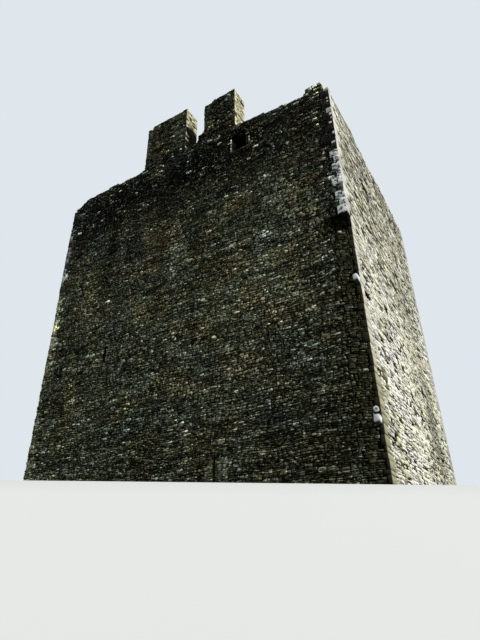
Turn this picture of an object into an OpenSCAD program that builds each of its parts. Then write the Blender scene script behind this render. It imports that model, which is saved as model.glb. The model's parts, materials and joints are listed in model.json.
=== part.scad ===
/* [Plan] */
// Width of the front, over the dressed corner stones
keep_w = 12000; // [11400:100:13000]
// Depth of the sides, over the dressed corner stones
keep_d = 9400; // [9000:100:10400]
// Thickness of the main walls
wall_t = 2000; // [1800:50:2200]
// How far the dressed corner stones stand out of the rubble face
quoin_out = 40; // [20:5:60]

/* [Heights] */
// Height of the wall heads, under the paving and the parapets
wall_h = 13600; // [13400:50:14200]
// Top of the first timber floor
first_floor_z = 4500; // [4300:50:4700]
// Top of the second timber floor
second_floor_z = 9000; // [8800:50:9200]
// Thickness of the stone paving on the ground floor
ground_paving_t = 120; // [80:10:160]
// Thickness of the stone paving on the wall heads and roof
walk_paving_t = 100; // [60:10:140]

/* [Parapet] */
// Thickness of the parapet and its merlons
parapet_t = 690; // [600:10:760]
// Level of the parapet under the merlons
merlon_foot_z = 14110; // [14050:10:14300]
// Left end of the wide merlon, from the middle of the front
wide_merlon_x = -2050; // [-2400:50:-1800]
// Width of the wide merlon
wide_merlon_w = 2050; // [1700:50:2150]
// Top of the wide merlon
wide_merlon_top = 16630; // [16300:10:16900]
// Left end of the narrow merlon, from the middle of the front
narrow_merlon_x = 900; // [850:10:1000]
// Width of the narrow merlon
narrow_merlon_w = 1420; // [1200:20:1500]
// Top of the narrow merlon
narrow_merlon_top = 16250; // [16000:10:16400]
// Width of the rubble that leans on the narrow merlon's left foot
merlon_ramp_w = 360; // [200:20:500]
// Height of that rubble
merlon_ramp_h = 640; // [300:20:900]

/* [Corner stones] */
// Reach of a long corner stone along the front
quoin_front = 300; // [240:10:360]
// Reach of a short corner stone along the front
quoin_front_short = 170; // [120:10:220]
// Reach of a long corner stone along the side
quoin_side = 450; // [360:10:520]
// Reach of a short corner stone along the side
quoin_side_short = 230; // [160:10:300]
// Height of a course of corner stones
quoin_course = 285; // [240:5:330]
// Lowest corner stone left on the near corner
near_quoin_low = 8130; // [7700:10:8300]
// Highest corner stone left on the near corner
near_quoin_high = 13500; // [12800:50:13550]
// Lowest corner stone left on the left front corner
left_quoin_low = 9400; // [9100:50:9700]
// Highest corner stone left on the left front corner
left_quoin_high = 12250; // [11900:50:12600]
// Width of the rubble patch where the near corner was robbed
patch_w = 550; // [400:10:640]
// How far that patch slopes back at the corner
patch_back = 260; // [120:10:320]
// Depth of the patch into the wall
patch_d = 560; // [460:10:640]
// Reach of the two dressed stones left in the patch
block_reach = [190, 350]; // [180:10:400]
// Levels of the lower one, bottom and top
low_block_z = [1930, 2180]; // [1800:10:2300]
// Levels of the upper one, bottom and top
high_block_z = [5790, 6050]; // [5500:10:6100]

/* [Window and loops] */
// Middle of the upper window, from the middle of the front
window_x = 2455; // [2430:5:2500]
// Width of the upper window
window_w = 570; // [480:10:600]
// Bottom of the upper window
window_sill_z = 12740; // [12700:10:12900]
// Head of the upper window
window_head_z = 13540; // [13350:10:13540]
// Inner width of the window's splay
window_in_w = 680; // [600:10:690]
// Middle of the front loop, from the middle of the front
loop_x = -2985; // [-3200:5:-2800]
// Width of a loop
loop_w = 80; // [60:5:120]
// Height of a loop
loop_h = 560; // [450:10:700]
// Bottom of the loops of the first floor
loop_sill_z = 5640; // [5500:10:5900]
// Middle of the base loop, from the middle of the front
base_loop_x = 1545; // [1450:5:1650]
// Bottom of the base loops
base_loop_sill_z = 850; // [700:10:950]
// Top of the base loops
base_loop_top_z = 1730; // [1600:10:1850]
// Inner width of a loop's splay
loop_in_w = 700; // [500:20:900]
// Depth of the straight throat behind a loop's face
throat_d = 350; // [250:10:450]
// Place of the loops in the left wall, from its middle
side_loop_y = 600; // [-600:50:1200]
// Place of the loop and window in the back wall, from its middle
back_opening_x = 2800; // [2600:50:3000]

/* [Door] */
// Width of the doorway
door_w = 1100; // [900:20:1200]
// Height at which the door's arch springs
door_spring_z = 1750; // [1600:10:1900]
// Thickness of the dressed stones round the doorway
arch_t = 280; // [220:10:340]
// Depth of those stones into the wall
arch_d = 420; // [320:10:520]

/* [Stone slabs] */
// Widths of the left and right slabs at the base loop
base_slab_w = [250, 380]; // [150:10:450]
// Depth of a slab at a loop or window
slab_d = 400; // [300:10:450]
// Thickness of a window's lintel
lintel_t = 60; // [40:5:60]
// Bearing of a lintel or sill on each side
lintel_bearing = 130; // [80:10:160]
// Thickness of a window's sill
sill_t = 90; // [60:5:120]
// Width of the slab at the left of the upper window
jamb_slab_w = 70; // [50:5:110]
// Height of the gaps left by lost stones
lost_stone_h = 150; // [80:10:160]
// Depth of those gaps
lost_stone_d = 380; // [250:10:450]
// The gap low on the right face: distance from the front face, level, length
low_gap = [670, 5705, 260]; // [200:5:6000]
// The long gap in the middle of the right face
middle_gap = [4690, 8270, 720]; // [500:5:9000]
// The gap high on the right face
high_gap = [2940, 11400, 580]; // [500:5:12000]

/* [Broken tops] */
// Front parapet left of the merlons: distances from the left end, and rises above the wall head
front_left_top = [[90, 50], [240, 170], [480, 370], [730, 460], [1820, 480], [2920, 440], [3500, 420]];
// Front parapet right of the merlons: distances from the right end, and rises
front_right_top = [[3190, 400], [2600, 330], [1770, 280], [1360, 220], [960, 170], [810, 230]];
// Stub of the near corner: distances from the right end, and rises
stub_top = [[810, 300], [780, 480], [480, 490], [230, 510], [190, 350], [140, 40]];
// Right parapet: distances from the front parapet, and rises
right_top = [[0, 70], [670, 90], [1500, 280], [2330, 110], [3840, 190], [4840, 320], [6800, 370]];
// Back parapet: distances from the left end, and rises
back_top = [[0, 250], [1660, 420], [3460, 300], [5060, 520], [6660, 380], [8360, 560], [10060, 330]];
// Left parapet: distances from the front parapet, and rises
left_top = [[0, 330], [1370, 450], [2970, 260], [4870, 480], [6470, 390]];
// Rise of the far ends of the side and back parapets
end_rise = 310; // [200:10:400]

/* [Timber] */
// Number of beams under each floor
beams = 6; // [4:2:6]
// Width of a beam
beam_w = 240; // [200:10:280]
// Height of a beam
beam_h = 300; // [260:10:340]
// Length of a beam's bearing in each wall
beam_bearing = 250; // [180:10:320]
// Thickness of the floor boards
board_t = 60; // [40:5:80]
// Clearance round a timber or slab where it doesn't bear
clear = 10; // [4:1:14]

/* [Hidden] */
face_x = keep_w / 2 - quoin_out;
face_y = keep_d / 2 - quoin_out;
room_x = face_x - wall_t;
room_y = face_y - wall_t;
door_r = door_w / 2;
walk_x = face_x - parapet_t;
walk_y = face_y - parapet_t;
through = 20;

// Shapes that repeat

// A box from one corner to the other
module block(low, high) {
    translate(low) cube(high - low);
}

// A slot with a straight throat that then widens inwards, depth along +Y from the wall's face
module splayed_slot(w, h, in_w) {
    linear_extrude(h)
        polygon([
            [-w / 2, -through], [w / 2, -through], [w / 2, throat_d],
            [in_w / 2, wall_t + through], [-in_w / 2, wall_t + through], [-w / 2, throat_d]
        ]);
}

// Points of a broken top, given distances from a place, which run along +X or back along it
function top_points(points, from, way = 1) = [
    for (p = points) [from + way * p[0], wall_h + p[1]]
];

// A broken length of parapet under its top points, its outer face at y = 0
module broken(top) {
    last = len(top) - 1;
    translate([0, parapet_t, 0]) rotate([90, 0, 0]) linear_extrude(parapet_t)
        polygon(concat([[top[last][0], wall_h], [top[0][0], wall_h]], top));
}

// Sets its children at a corner: 1 or -1 for right or left, and for back or front
module at_corner(side, end) {
    mirror([side < 0 ? 1 : 0, 0, 0]) mirror([0, end < 0 ? 1 : 0, 0]) children();
}

// Room for the corner stones at the right back corner
module quoin_space(low, high) {
    block([face_x - quoin_front, face_y - quoin_side, low],
          [face_x + through, face_y + through, high]);
}

// A stack of dressed corner stones, long and short by turns, at the right back corner
module quoin_stack(low, high) {
    n = round((high - low) / quoin_course);
    step = (high - low) / n;
    block([face_x - quoin_front, face_y - quoin_side, low], [face_x, face_y, high]);
    for (i = [0:n - 1]) {
        long_front = i % 2 == 0;
        reach_x = long_front ? quoin_front : quoin_front_short;
        reach_y = long_front ? quoin_side_short : quoin_side;
        block([face_x - reach_x, face_y - reach_y, low + i * step],
              [face_x + quoin_out, face_y + quoin_out, low + (i + 1) * step]);
    }
}

// Centres of the beams along the room
function beam_places() = [
    for (i = [0:beams - 1]) -room_x + (i + 0.5) * 2 * room_x / beams
];

// Beams whose tops are at a level
module beam_row(top) {
    for (x = beam_places())
        block([x - beam_w / 2, -room_y - beam_bearing, top - beam_h],
              [x + beam_w / 2, room_y + beam_bearing, top]);
}

// Pockets for those beams in the front and back walls
module beam_pockets() {
    for (top = [first_floor_z - board_t, second_floor_z - board_t, wall_h])
        for (x = beam_places())
            block([x - beam_w / 2 - clear, -room_y - beam_bearing - clear, top - beam_h],
                  [x + beam_w / 2 + clear, room_y + beam_bearing + clear, top + clear]);
}

// Boards of a timber floor, with their top at a level
module board_floor(top) {
    block([-room_x + clear, -room_y + clear, top - board_t],
          [room_x - clear, room_y - clear, top]);
}

// Gap left by a lost stone in the right face, from its distance, level and length
module lost_stone(gap) {
    translate([face_x - lost_stone_d, gap[0] - face_y - gap[2] / 2, gap[1] - lost_stone_h / 2])
        cube([lost_stone_d + through, gap[2], lost_stone_h]);
}

// Lintel or sill slab behind a wall face, depth along +Y
module window_slab(w, z, t) {
    translate([-w / 2 - lintel_bearing, 0, z]) cube([w + 2 * lintel_bearing, slab_d, t]);
}

// The hole of a window with the beds of its lintel and sill
module window_cut() {
    translate([0, 0, window_sill_z])
        splayed_slot(window_w, window_head_z - window_sill_z, window_in_w);
    translate([0, -through, 0]) window_slab(window_w, window_head_z, lintel_t);
    window_slab(window_w, window_head_z, lintel_t);
    translate([0, -through, 0]) window_slab(window_w, window_sill_z - sill_t, sill_t);
    window_slab(window_w, window_sill_z - sill_t, sill_t);
}

module loop_cut() {
    translate([0, 0, loop_sill_z]) splayed_slot(loop_w, loop_h, loop_in_w);
}

module base_loop_cut() {
    translate([0, 0, base_loop_sill_z])
        splayed_slot(loop_w, base_loop_top_z - base_loop_sill_z, loop_in_w);
}

// Sets its children on a wall's face, with depth along +Y
module on_front(x) {
    translate([x, -face_y, 0]) children();
}
module on_back(x) {
    translate([x, face_y, 0]) rotate([0, 0, 180]) children();
}
module on_left(y) {
    translate([-face_x, y, 0]) rotate([0, 0, -90]) children();
}

// Dressed stones left where the near corner was robbed
module corner_block_shapes() {
    for (z = [low_block_z, high_block_z])
        block([face_x + quoin_out - block_reach[0], -face_y - quoin_out, z[0]],
              [face_x + quoin_out, -face_y - quoin_out + block_reach[1], z[1]]);
}

// Slabs on edge beside the base loop
module base_slab_shapes() {
    h = base_loop_top_z - base_loop_sill_z;
    translate([base_loop_x - loop_w / 2 - base_slab_w[0], -face_y, base_loop_sill_z])
        cube([base_slab_w[0], slab_d - 100, h]);
    translate([base_loop_x + loop_w / 2, -face_y, base_loop_sill_z])
        cube([base_slab_w[1], slab_d - 100, h]);
}

// Slab on edge at the left of the upper window
module window_jamb_shape() {
    translate([window_x - window_w / 2 - jamb_slab_w, -face_y, window_sill_z])
        cube([jamb_slab_w, slab_d - 100, window_head_z - window_sill_z]);
}

// The doorway, from the back face inwards, and the bed of its dressed stones
module door_hole(r) {
    block([-r, room_y - through, -through], [r, face_y + through, door_spring_z]);
    translate([0, room_y - through, door_spring_z]) rotate([-90, 0, 0])
        cylinder(r = r, h = wall_t + 2 * through, $fn = 96);
}
module door_stone_space() {
    r = door_r + arch_t;
    block([-r, face_y - arch_d, -through], [r, face_y + through, door_spring_z]);
    translate([0, face_y - arch_d, door_spring_z]) rotate([-90, 0, 0])
        cylinder(r = r, h = arch_d + through, $fn = 96);
}

// The walls

module front_wall() {
    color("dimgray") difference() {
        block([-face_x, -face_y, 0], [face_x, -room_y, wall_h]);
        beam_pockets();
        on_front(window_x) window_cut();
        on_front(loop_x) loop_cut();
        on_front(base_loop_x) base_loop_cut();
        base_slab_shapes();
        window_jamb_shape();
        at_corner(1, -1) quoin_space(near_quoin_low, wall_h + through);
        at_corner(-1, -1) quoin_space(left_quoin_low, left_quoin_high);
        block([face_x - patch_w, -face_y - through, -through],
              [face_x + through, -face_y + patch_d, near_quoin_low]);
        lost_stone(low_gap);
    }
}

module right_wall() {
    color("gainsboro") difference() {
        block([room_x, -room_y, 0], [face_x, room_y, wall_h]);
        lost_stone(middle_gap);
        lost_stone(high_gap);
    }
}

module left_wall() {
    color("dimgray") difference() {
        block([-face_x, -room_y, 0], [-room_x, room_y, wall_h]);
        on_left(side_loop_y) loop_cut();
        on_left(side_loop_y) base_loop_cut();
    }
}

// One half of the back wall, beside the doorway: -1 is the left half, seen from the front
module back_wall_half(side) {
    difference() {
        if (side < 0) block([-face_x, room_y, 0], [-door_r, face_y, wall_h]);
        else block([door_r, room_y, 0], [face_x, face_y, wall_h]);
        beam_pockets();
        door_stone_space();
        at_corner(side, 1) quoin_space(-through, wall_h + through);
        if (side < 0) on_back(-back_opening_x) loop_cut();
        else on_back(back_opening_x) window_cut();
    }
}

module back_wall_left() {
    color("dimgray") back_wall_half(-1);
}

module back_wall_right() {
    color("dimgray") back_wall_half(1);
}

module back_wall_over_door() {
    color("dimgray") difference() {
        block([-door_r, room_y, door_spring_z], [door_r, face_y, wall_h]);
        beam_pockets();
        door_hole(door_r);
        door_stone_space();
    }
}

// The corners

module near_corner_quoins() {
    color("lightgray") at_corner(1, -1) quoin_stack(near_quoin_low, near_quoin_high);
}

module near_corner_patch() {
    color("dimgray") difference() {
        linear_extrude(near_quoin_low)
            polygon([
                [face_x - patch_w, -face_y], [face_x, -face_y + patch_back],
                [face_x, -face_y + patch_d], [face_x - patch_w, -face_y + patch_d]
            ]);
        corner_block_shapes();
    }
}

module near_corner_blocks() {
    color("lightgray") corner_block_shapes();
}

module left_corner_quoins() {
    color("lightgray") at_corner(-1, -1) quoin_stack(left_quoin_low, left_quoin_high);
}

module back_right_quoins() {
    color("lightgray") at_corner(1, 1) quoin_stack(0, wall_h);
}

module back_left_quoins() {
    color("lightgray") at_corner(-1, 1) quoin_stack(0, wall_h);
}

// The broken parapet and its two merlons

module front_parapet() {
    color("dimgray") translate([0, -face_y, 0])
        broken(concat(
            top_points(front_left_top, -face_x),
            [[wide_merlon_x, merlon_foot_z], [narrow_merlon_x + narrow_merlon_w, merlon_foot_z]],
            top_points(front_right_top, face_x, -1)
        ));
}

module corner_stub() {
    color("dimgray") difference() {
        translate([0, -face_y, 0]) broken(top_points(stub_top, face_x, -1));
        at_corner(1, -1) quoin_space(wall_h - through, wall_h + 2 * through);
    }
}

module right_parapet() {
    color("gainsboro") translate([face_x, 0, 0]) rotate([0, 0, 90])
        broken(concat(top_points(right_top, -walk_y), [[walk_y, wall_h + end_rise]]));
}

module back_parapet() {
    color("dimgray") translate([0, face_y - parapet_t, 0])
        broken(concat(top_points(back_top, -face_x), [[face_x, wall_h + end_rise]]));
}

module left_parapet() {
    color("dimgray") translate([-walk_x, 0, 0]) rotate([0, 0, 90])
        broken(concat(top_points(left_top, -walk_y), [[walk_y, wall_h + end_rise]]));
}

module merlon_wide() {
    color("dimgray")
        block([wide_merlon_x, -face_y, merlon_foot_z],
              [wide_merlon_x + wide_merlon_w, -walk_y, wide_merlon_top]);
}

module merlon_narrow() {
    color("dimgray") translate([narrow_merlon_x, -walk_y, merlon_foot_z]) rotate([90, 0, 0])
        linear_extrude(parapet_t)
            polygon([
                [-merlon_ramp_w, 0], [narrow_merlon_w, 0],
                [narrow_merlon_w, narrow_merlon_top - merlon_foot_z],
                [0, narrow_merlon_top - merlon_foot_z],
                [0, merlon_ramp_h], [-merlon_ramp_w * 0.7, merlon_ramp_h * 0.45]
            ]);
}

// The wall walk and roof

module front_wall_walk() {
    color("gray") block([-walk_x, -walk_y, wall_h], [walk_x, -room_y, wall_h + walk_paving_t]);
}

module back_wall_walk() {
    color("gray") block([-walk_x, room_y, wall_h], [walk_x, walk_y, wall_h + walk_paving_t]);
}

module right_wall_walk() {
    color("gray") block([room_x, -room_y, wall_h], [walk_x, room_y, wall_h + walk_paving_t]);
}

module left_wall_walk() {
    color("gray") block([-walk_x, -room_y, wall_h], [-room_x, room_y, wall_h + walk_paving_t]);
}

module roof_deck() {
    color("gray")
        block([-room_x + clear, -room_y + clear, wall_h],
              [room_x - clear, room_y - clear, wall_h + walk_paving_t]);
}

module roof_beams() {
    color("saddlebrown") beam_row(wall_h);
}

// The floors

module ground_floor() {
    color("gray") {
        block([-room_x, -room_y, 0], [room_x, room_y, ground_paving_t]);
        block([-door_r, room_y, 0], [door_r, face_y - arch_d, ground_paving_t]);
    }
}

module first_floor_beams() {
    color("saddlebrown") beam_row(first_floor_z - board_t);
}

module first_floor_boards() {
    color("peru") board_floor(first_floor_z);
}

module second_floor_beams() {
    color("saddlebrown") beam_row(second_floor_z - board_t);
}

module second_floor_boards() {
    color("peru") board_floor(second_floor_z);
}

// Slabs at the window and loop

module upper_window_lintel() {
    color("silver") on_front(window_x) window_slab(window_w, window_head_z, lintel_t);
}

module upper_window_sill() {
    color("silver") on_front(window_x) window_slab(window_w, window_sill_z - sill_t, sill_t);
}

module upper_window_jamb() {
    color("silver") window_jamb_shape();
}

module back_window_lintel() {
    color("silver") on_back(back_opening_x) window_slab(window_w, window_head_z, lintel_t);
}

module back_window_sill() {
    color("silver")
        on_back(back_opening_x) window_slab(window_w, window_sill_z - sill_t, sill_t);
}

module base_loop_slabs() {
    color("slategray") base_slab_shapes();
}

// The doorway

module door_arch() {
    color("silver") difference() {
        translate([0, face_y - arch_d, door_spring_z]) rotate([-90, 0, 0])
            cylinder(r = door_r + arch_t, h = arch_d, $fn = 96);
        door_hole(door_r);
        block([-door_r - arch_t - through, face_y - arch_d - through, 0],
              [door_r + arch_t + through, face_y + through, door_spring_z]);
    }
}

module door_jambs() {
    color("silver") for (side = [-1, 1])
        block([side < 0 ? -door_r - arch_t : door_r, face_y - arch_d, 0],
              [side < 0 ? -door_r : door_r + arch_t, face_y, door_spring_z]);
}

module door_threshold() {
    color("silver") block([-door_r, face_y - arch_d, 0], [door_r, face_y, ground_paving_t]);
}

front_wall();
right_wall();
left_wall();
back_wall_left();
back_wall_right();
back_wall_over_door();
near_corner_quoins();
near_corner_patch();
near_corner_blocks();
left_corner_quoins();
back_right_quoins();
back_left_quoins();
front_parapet();
corner_stub();
right_parapet();
back_parapet();
left_parapet();
merlon_wide();
merlon_narrow();
front_wall_walk();
right_wall_walk();
back_wall_walk();
left_wall_walk();
ground_floor();
first_floor_beams();
first_floor_boards();
second_floor_beams();
second_floor_boards();
roof_beams();
roof_deck();
upper_window_lintel();
upper_window_sill();
upper_window_jamb();
back_window_lintel();
back_window_sill();
base_loop_slabs();
door_arch();
door_jambs();
door_threshold();
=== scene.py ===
import json
import math

import bpy
import numpy as np
from mathutils import Matrix, Vector
from mathutils.bvhtree import BVHTree


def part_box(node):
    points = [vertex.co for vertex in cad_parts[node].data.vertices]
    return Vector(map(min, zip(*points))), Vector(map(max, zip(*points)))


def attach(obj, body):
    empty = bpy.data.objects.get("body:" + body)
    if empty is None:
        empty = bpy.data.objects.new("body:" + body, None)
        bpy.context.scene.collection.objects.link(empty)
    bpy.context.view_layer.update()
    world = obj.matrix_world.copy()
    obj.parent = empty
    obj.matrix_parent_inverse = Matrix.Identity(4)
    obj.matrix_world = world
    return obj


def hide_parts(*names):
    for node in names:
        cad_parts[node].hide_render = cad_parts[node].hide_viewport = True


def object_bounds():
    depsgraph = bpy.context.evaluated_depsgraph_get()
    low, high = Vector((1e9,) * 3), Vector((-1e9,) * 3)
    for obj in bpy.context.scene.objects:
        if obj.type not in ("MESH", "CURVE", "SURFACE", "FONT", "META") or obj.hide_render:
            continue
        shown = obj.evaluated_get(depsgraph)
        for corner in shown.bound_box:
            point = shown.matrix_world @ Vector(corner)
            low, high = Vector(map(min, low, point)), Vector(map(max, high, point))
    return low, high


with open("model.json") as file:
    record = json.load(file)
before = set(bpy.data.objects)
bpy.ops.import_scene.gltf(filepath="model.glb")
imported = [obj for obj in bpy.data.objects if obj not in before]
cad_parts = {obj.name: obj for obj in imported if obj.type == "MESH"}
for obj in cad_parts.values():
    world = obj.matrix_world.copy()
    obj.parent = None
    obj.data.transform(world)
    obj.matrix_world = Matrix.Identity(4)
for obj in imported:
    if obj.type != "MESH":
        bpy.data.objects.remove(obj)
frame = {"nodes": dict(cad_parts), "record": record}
cad_low, cad_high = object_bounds()

# The camera, found from the wall edges in the photograph, in metres and degrees
CAMERA_PLACE = (8.794, -15.63, -1.55)
CAMERA_HEADING, CAMERA_PITCH, CAMERA_ROLL = 30.29, 29.54, 0.926
CAMERA_LENS_MM = 28.125

# The light: a sun that faces the right side and only grazes the front, and an even sky
SUN_AZIMUTH, SUN_ELEVATION, SUN_SPREAD = -3.0, 33.5, 1.2
SUN_STRENGTH, SKY_STRENGTH = 3.4, 0.55
BACKDROP = (0.74, 0.79, 0.84)

# The stage: level ground with an edge in front, past which it falls towards the camera
CREST_DISTANCE, CREST_SLANT = 7.62, 0.13
GROUND_REACH, GROUND_FALL = 70.0, 3.2

# Wall sizes, from the frame
wall_low, wall_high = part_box("front_wall")
merlon_low, merlon_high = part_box("merlon_wide")
FACE_X, FACE_Y, WALL_TOP = wall_high.x, -wall_low.y, wall_high.z
PARAPET_T = merlon_high.y - merlon_low.y
WALK_X, WALK_Y = FACE_X - PARAPET_T, FACE_Y - PARAPET_T
ROOM_X, ROOM_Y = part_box("ground_floor")[1].x, -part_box("ground_floor")[0].y
FRONT_LEVELS = {"low": 5.0, "middle": 9.6, "high": WALL_TOP}
SIDE_LEVELS = {"low": 6.8, "high": WALL_TOP}

# Rubble: thin slates in rough bands, each band cut into runs of one to four layers
BAND_HEIGHT = (0.13, 0.25)
RUN_LENGTH, SINGLE_LENGTH = (0.25, 0.9), (0.2, 0.5)
LAYER_ODDS = (0.025, 0.175, 0.40, 0.40)
STONE_LENGTH = (0.08, 0.34)
JOINT = (0.005, 0.017)
EMBED, MAX_OUT = 0.04, 0.037
SHORTEST, THINNEST = 0.045, 0.022
OFF_GROUND = 0.002
RING = 8

FAR, RAY_FROM = 99.0, 40.0
up = np.array([0.0, 0.0, 1.0])


# Meshes

def shell_quads(rows, size, closed=True):
    """Quads between rows of points. In closed rows the last point meets the first."""
    i = np.arange(size if closed else size - 1)
    j = (i + 1) % size
    start = (np.arange(rows - 1) * size)[:, None]
    return np.stack([start + i, start + j, start + size + j, start + size + i], 2).reshape(-1, 4)


def fan(start, size, tip, closed=True):
    """Triangles from a row of points to one point."""
    i = np.arange(size if closed else size - 1)
    return np.stack([start + i, start + (i + 1) % size, np.full(len(i), tip)], 1)


class Masonry:
    """Points, faces and a colour for each point, joined into one mesh at the end."""

    def __init__(self):
        self.points, self.colors, self.quads, self.tris, self.count = [], [], [], [], 0

    def add(self, points, colors, quads=(), tris=()):
        points = np.asarray(points, float).reshape(-1, 3)
        self.points.append(points)
        self.colors.append(np.broadcast_to(np.asarray(colors, float), (len(points), 4)))
        self.quads.append(np.asarray(quads, int).reshape(-1, 4) + self.count)
        self.tris.append(np.asarray(tris, int).reshape(-1, 3) + self.count)
        self.count += len(points)

    def build(self, name, material, slot, node=None):
        """Makes the piece, which takes the place of a CAD node if one is named."""
        quads, tris = np.concatenate(self.quads), np.concatenate(self.tris)
        loops = np.concatenate([quads.ravel(), tris.ravel()])
        starts = np.concatenate([np.arange(len(quads)) * 4,
                                 len(quads) * 4 + np.arange(len(tris)) * 3])
        points = np.clip(np.concatenate(self.points), cad_low, cad_high)
        mesh = bpy.data.meshes.new(name)
        mesh.vertices.add(self.count)
        mesh.vertices.foreach_set("co", points.astype(np.float32).ravel())
        mesh.loops.add(len(loops))
        mesh.loops.foreach_set("vertex_index", loops.astype(np.int32))
        mesh.polygons.add(len(starts))
        mesh.polygons.foreach_set("loop_start", starts.astype(np.int32))
        mesh.update(calc_edges=True)
        mesh.validate()
        tone = mesh.attributes.new("stone_tone", "FLOAT_COLOR", "POINT")
        tone.data.foreach_set("color", np.concatenate(self.colors).astype(np.float32).ravel())
        mesh.materials.append(material)
        piece = bpy.data.objects.new(name, mesh)
        bpy.context.scene.collection.objects.link(piece)
        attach(piece, "root")
        if node:
            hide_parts(node)


class Face:
    """A wall face: a place on it is u along it and v above the ground, and out is away from it."""

    def __init__(self, corner, along, width, base=0.0):
        self.corner, self.along = np.array([*corner, 0.0]), np.array([*along, 0.0])
        self.out = np.cross(self.along, up)
        self.width, self.base, self.holes = width, base, []

    def place(self, u, v, out):
        return (self.corner + u[..., None] * self.along + v[..., None] * up
                + out[..., None] * self.out)

    def hole(self, low, high, grow=0.008):
        """Keeps rubble out of the shadow that a box throws on this face."""
        us = sorted(float(np.dot(np.array([*spot[:2], 0.0]) - self.corner, self.along))
                    for spot in (low, high))
        self.holes.append((us[0] - grow, us[1] + grow, low[2] - grow, high[2] + grow))


TREES = {}


def top_of(nodes, x, y):
    """Height of the highest of some CAD nodes over a place."""
    best = 0.0
    for name in nodes:
        if name not in TREES:
            mesh = frame["nodes"][name].data
            TREES[name] = BVHTree.FromPolygons([v.co for v in mesh.vertices],
                                               [p.vertices[:] for p in mesh.polygons])
        spot = TREES[name].ray_cast(Vector((x, y, RAY_FROM)), Vector((0, 0, -1)))[0]
        if spot is not None:
            best = max(best, spot.z)
    return best


def crest(face, nodes, depth=0.1, step=0.02):
    """Heights of the nodes' tops along a face, sampled a little behind it."""
    us = np.arange(0.01, face.width, step)
    spots = face.corner + us[:, None] * face.along - depth * face.out
    return us, np.array([top_of(nodes, x, y) for x, y, _ in spots])


def keep_steps(face, us, tops, least=0.08, reach=0.4):
    """Keeps rubble from sticking out over the lower side of each step in a wall head."""
    for k in np.flatnonzero(np.abs(np.diff(tops)) > least):
        start = us[k + 1] - reach if tops[k + 1] > tops[k] else us[k]
        end = us[k + 1] if tops[k + 1] > tops[k] else us[k] + reach
        face.holes.append((start, end, min(tops[k], tops[k + 1]) + 0.03, FAR))


def cuts(rng, low, high, sizes, least=0.0, slack=0.01):
    """Start and length of each random cut of a stretch, with no rest shorter than least."""
    start = low
    while start < high - slack:
        length = min(rng.uniform(*sizes), high - start)
        if high - start - length < least:
            length = high - start
        yield start, length
        start += length


# Colours: each palette is a list of colours and how often each comes up

# Dark slates for the shaded faces: partly moss and damp, partly painted shade
DARK_SLATES = [
    (0.045, 0.046, 0.032), (0.069, 0.071, 0.049), (0.108, 0.111, 0.088), (0.088, 0.085, 0.056),
    (0.080, 0.074, 0.057), (0.070, 0.080, 0.066), (0.20, 0.21, 0.18)
], [0.28, 0.34, 0.20, 0.07, 0.03, 0.03, 0.05]
PATCH_SLATES = DARK_SLATES[0][:6], [0.25, 0.42, 0.15, 0.08, 0.05, 0.05]
# Pale slates for the sunlit faces. The last, near-black one stands for the shade in deep open
# joints: painted shade
PALE_SLATES = [
    (0.82, 0.80, 0.70), (0.79, 0.77, 0.66), (0.72, 0.71, 0.62), (0.74, 0.71, 0.54),
    (0.50, 0.49, 0.40), (0.72, 0.65, 0.54), (0.09, 0.085, 0.06)
], [0.42, 0.28, 0.12, 0.05, 0.05, 0.02, 0.06]
CRUSTED_SLATES = [(0.5, 0.53, 0.49)], [1.0]

# Stains, and a few patches of painted shade: place, half width, half height and factor, chosen
# from the photograph
FRONT_STAINS_AND_SHADE = [
    (0.0, 12.9, 9.0, 2.1, 0.07), (-3.2, 10.3, 1.0, 3.6, 0.84), (-5.3, 11.8, 1.0, 2.2, 0.8),
    (5.2, 10.6, 1.1, 2.8, 0.78), (-4.7, 12.6, 1.8, 1.4, 0.35), (4.3, 12.2, 1.5, 1.3, 0.8),
    (-3.3, 10.9, 0.28, 3.2, 0.3), (1.6, 12.6, 2.2, 0.9, 0.85), (-2.6, 9.9, 0.9, 1.0, 0.7),
    # (5.5, 11.0) is painted shadow: the near quoins' shadow in the column beside them
    (-0.5, 15.6, 4.0, 1.0, 0.55), (5.5, 11.0, 0.25, 2.8, 0.6), (-5.95, 8.3, 0.18, 1.8, 3.6),
    # (5.6, 4.5) is painted shade along the left edge of the patch
    (5.6, 4.5, 0.25, 5.0, 0.55), (4.9, 1.0, 1.0, 1.1, 0.7), (3.3, 6.6, 1.2, 1.3, 1.6),
    (-5.0, 7.6, 0.9, 1.6, 1.3), (0.5, 5.9, 1.5, 0.4, 1.25), (4.7, 1.6, 0.9, 1.4, 0.68),
    (1.1, 9.1, 0.9, 1.6, 0.84), (2.9, 1.3, 1.3, 0.9, 0.86), (-1.3, 13.55, 0.4, 0.35, 2.4),
    (4.0, 13.95, 1.2, 0.15, 2.0), (0.5, 13.9, 1.0, 0.2, 1.8), (-0.2, 9.4, 0.25, 0.2, 1.8),
    # (5.5, 7.9) is painted shadow under the lower end of the near quoins
    (2.6, 12.05, 0.7, 0.12, 2.0), (5.5, 7.9, 0.4, 0.35, 0.12), (2.1, 12.3, 0.25, 0.16, 0.25),
    (-2.2, 9.6, 0.5, 0.06, 0.4), (1.3, 15.9, 0.6, 0.5, 0.8)
]
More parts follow.
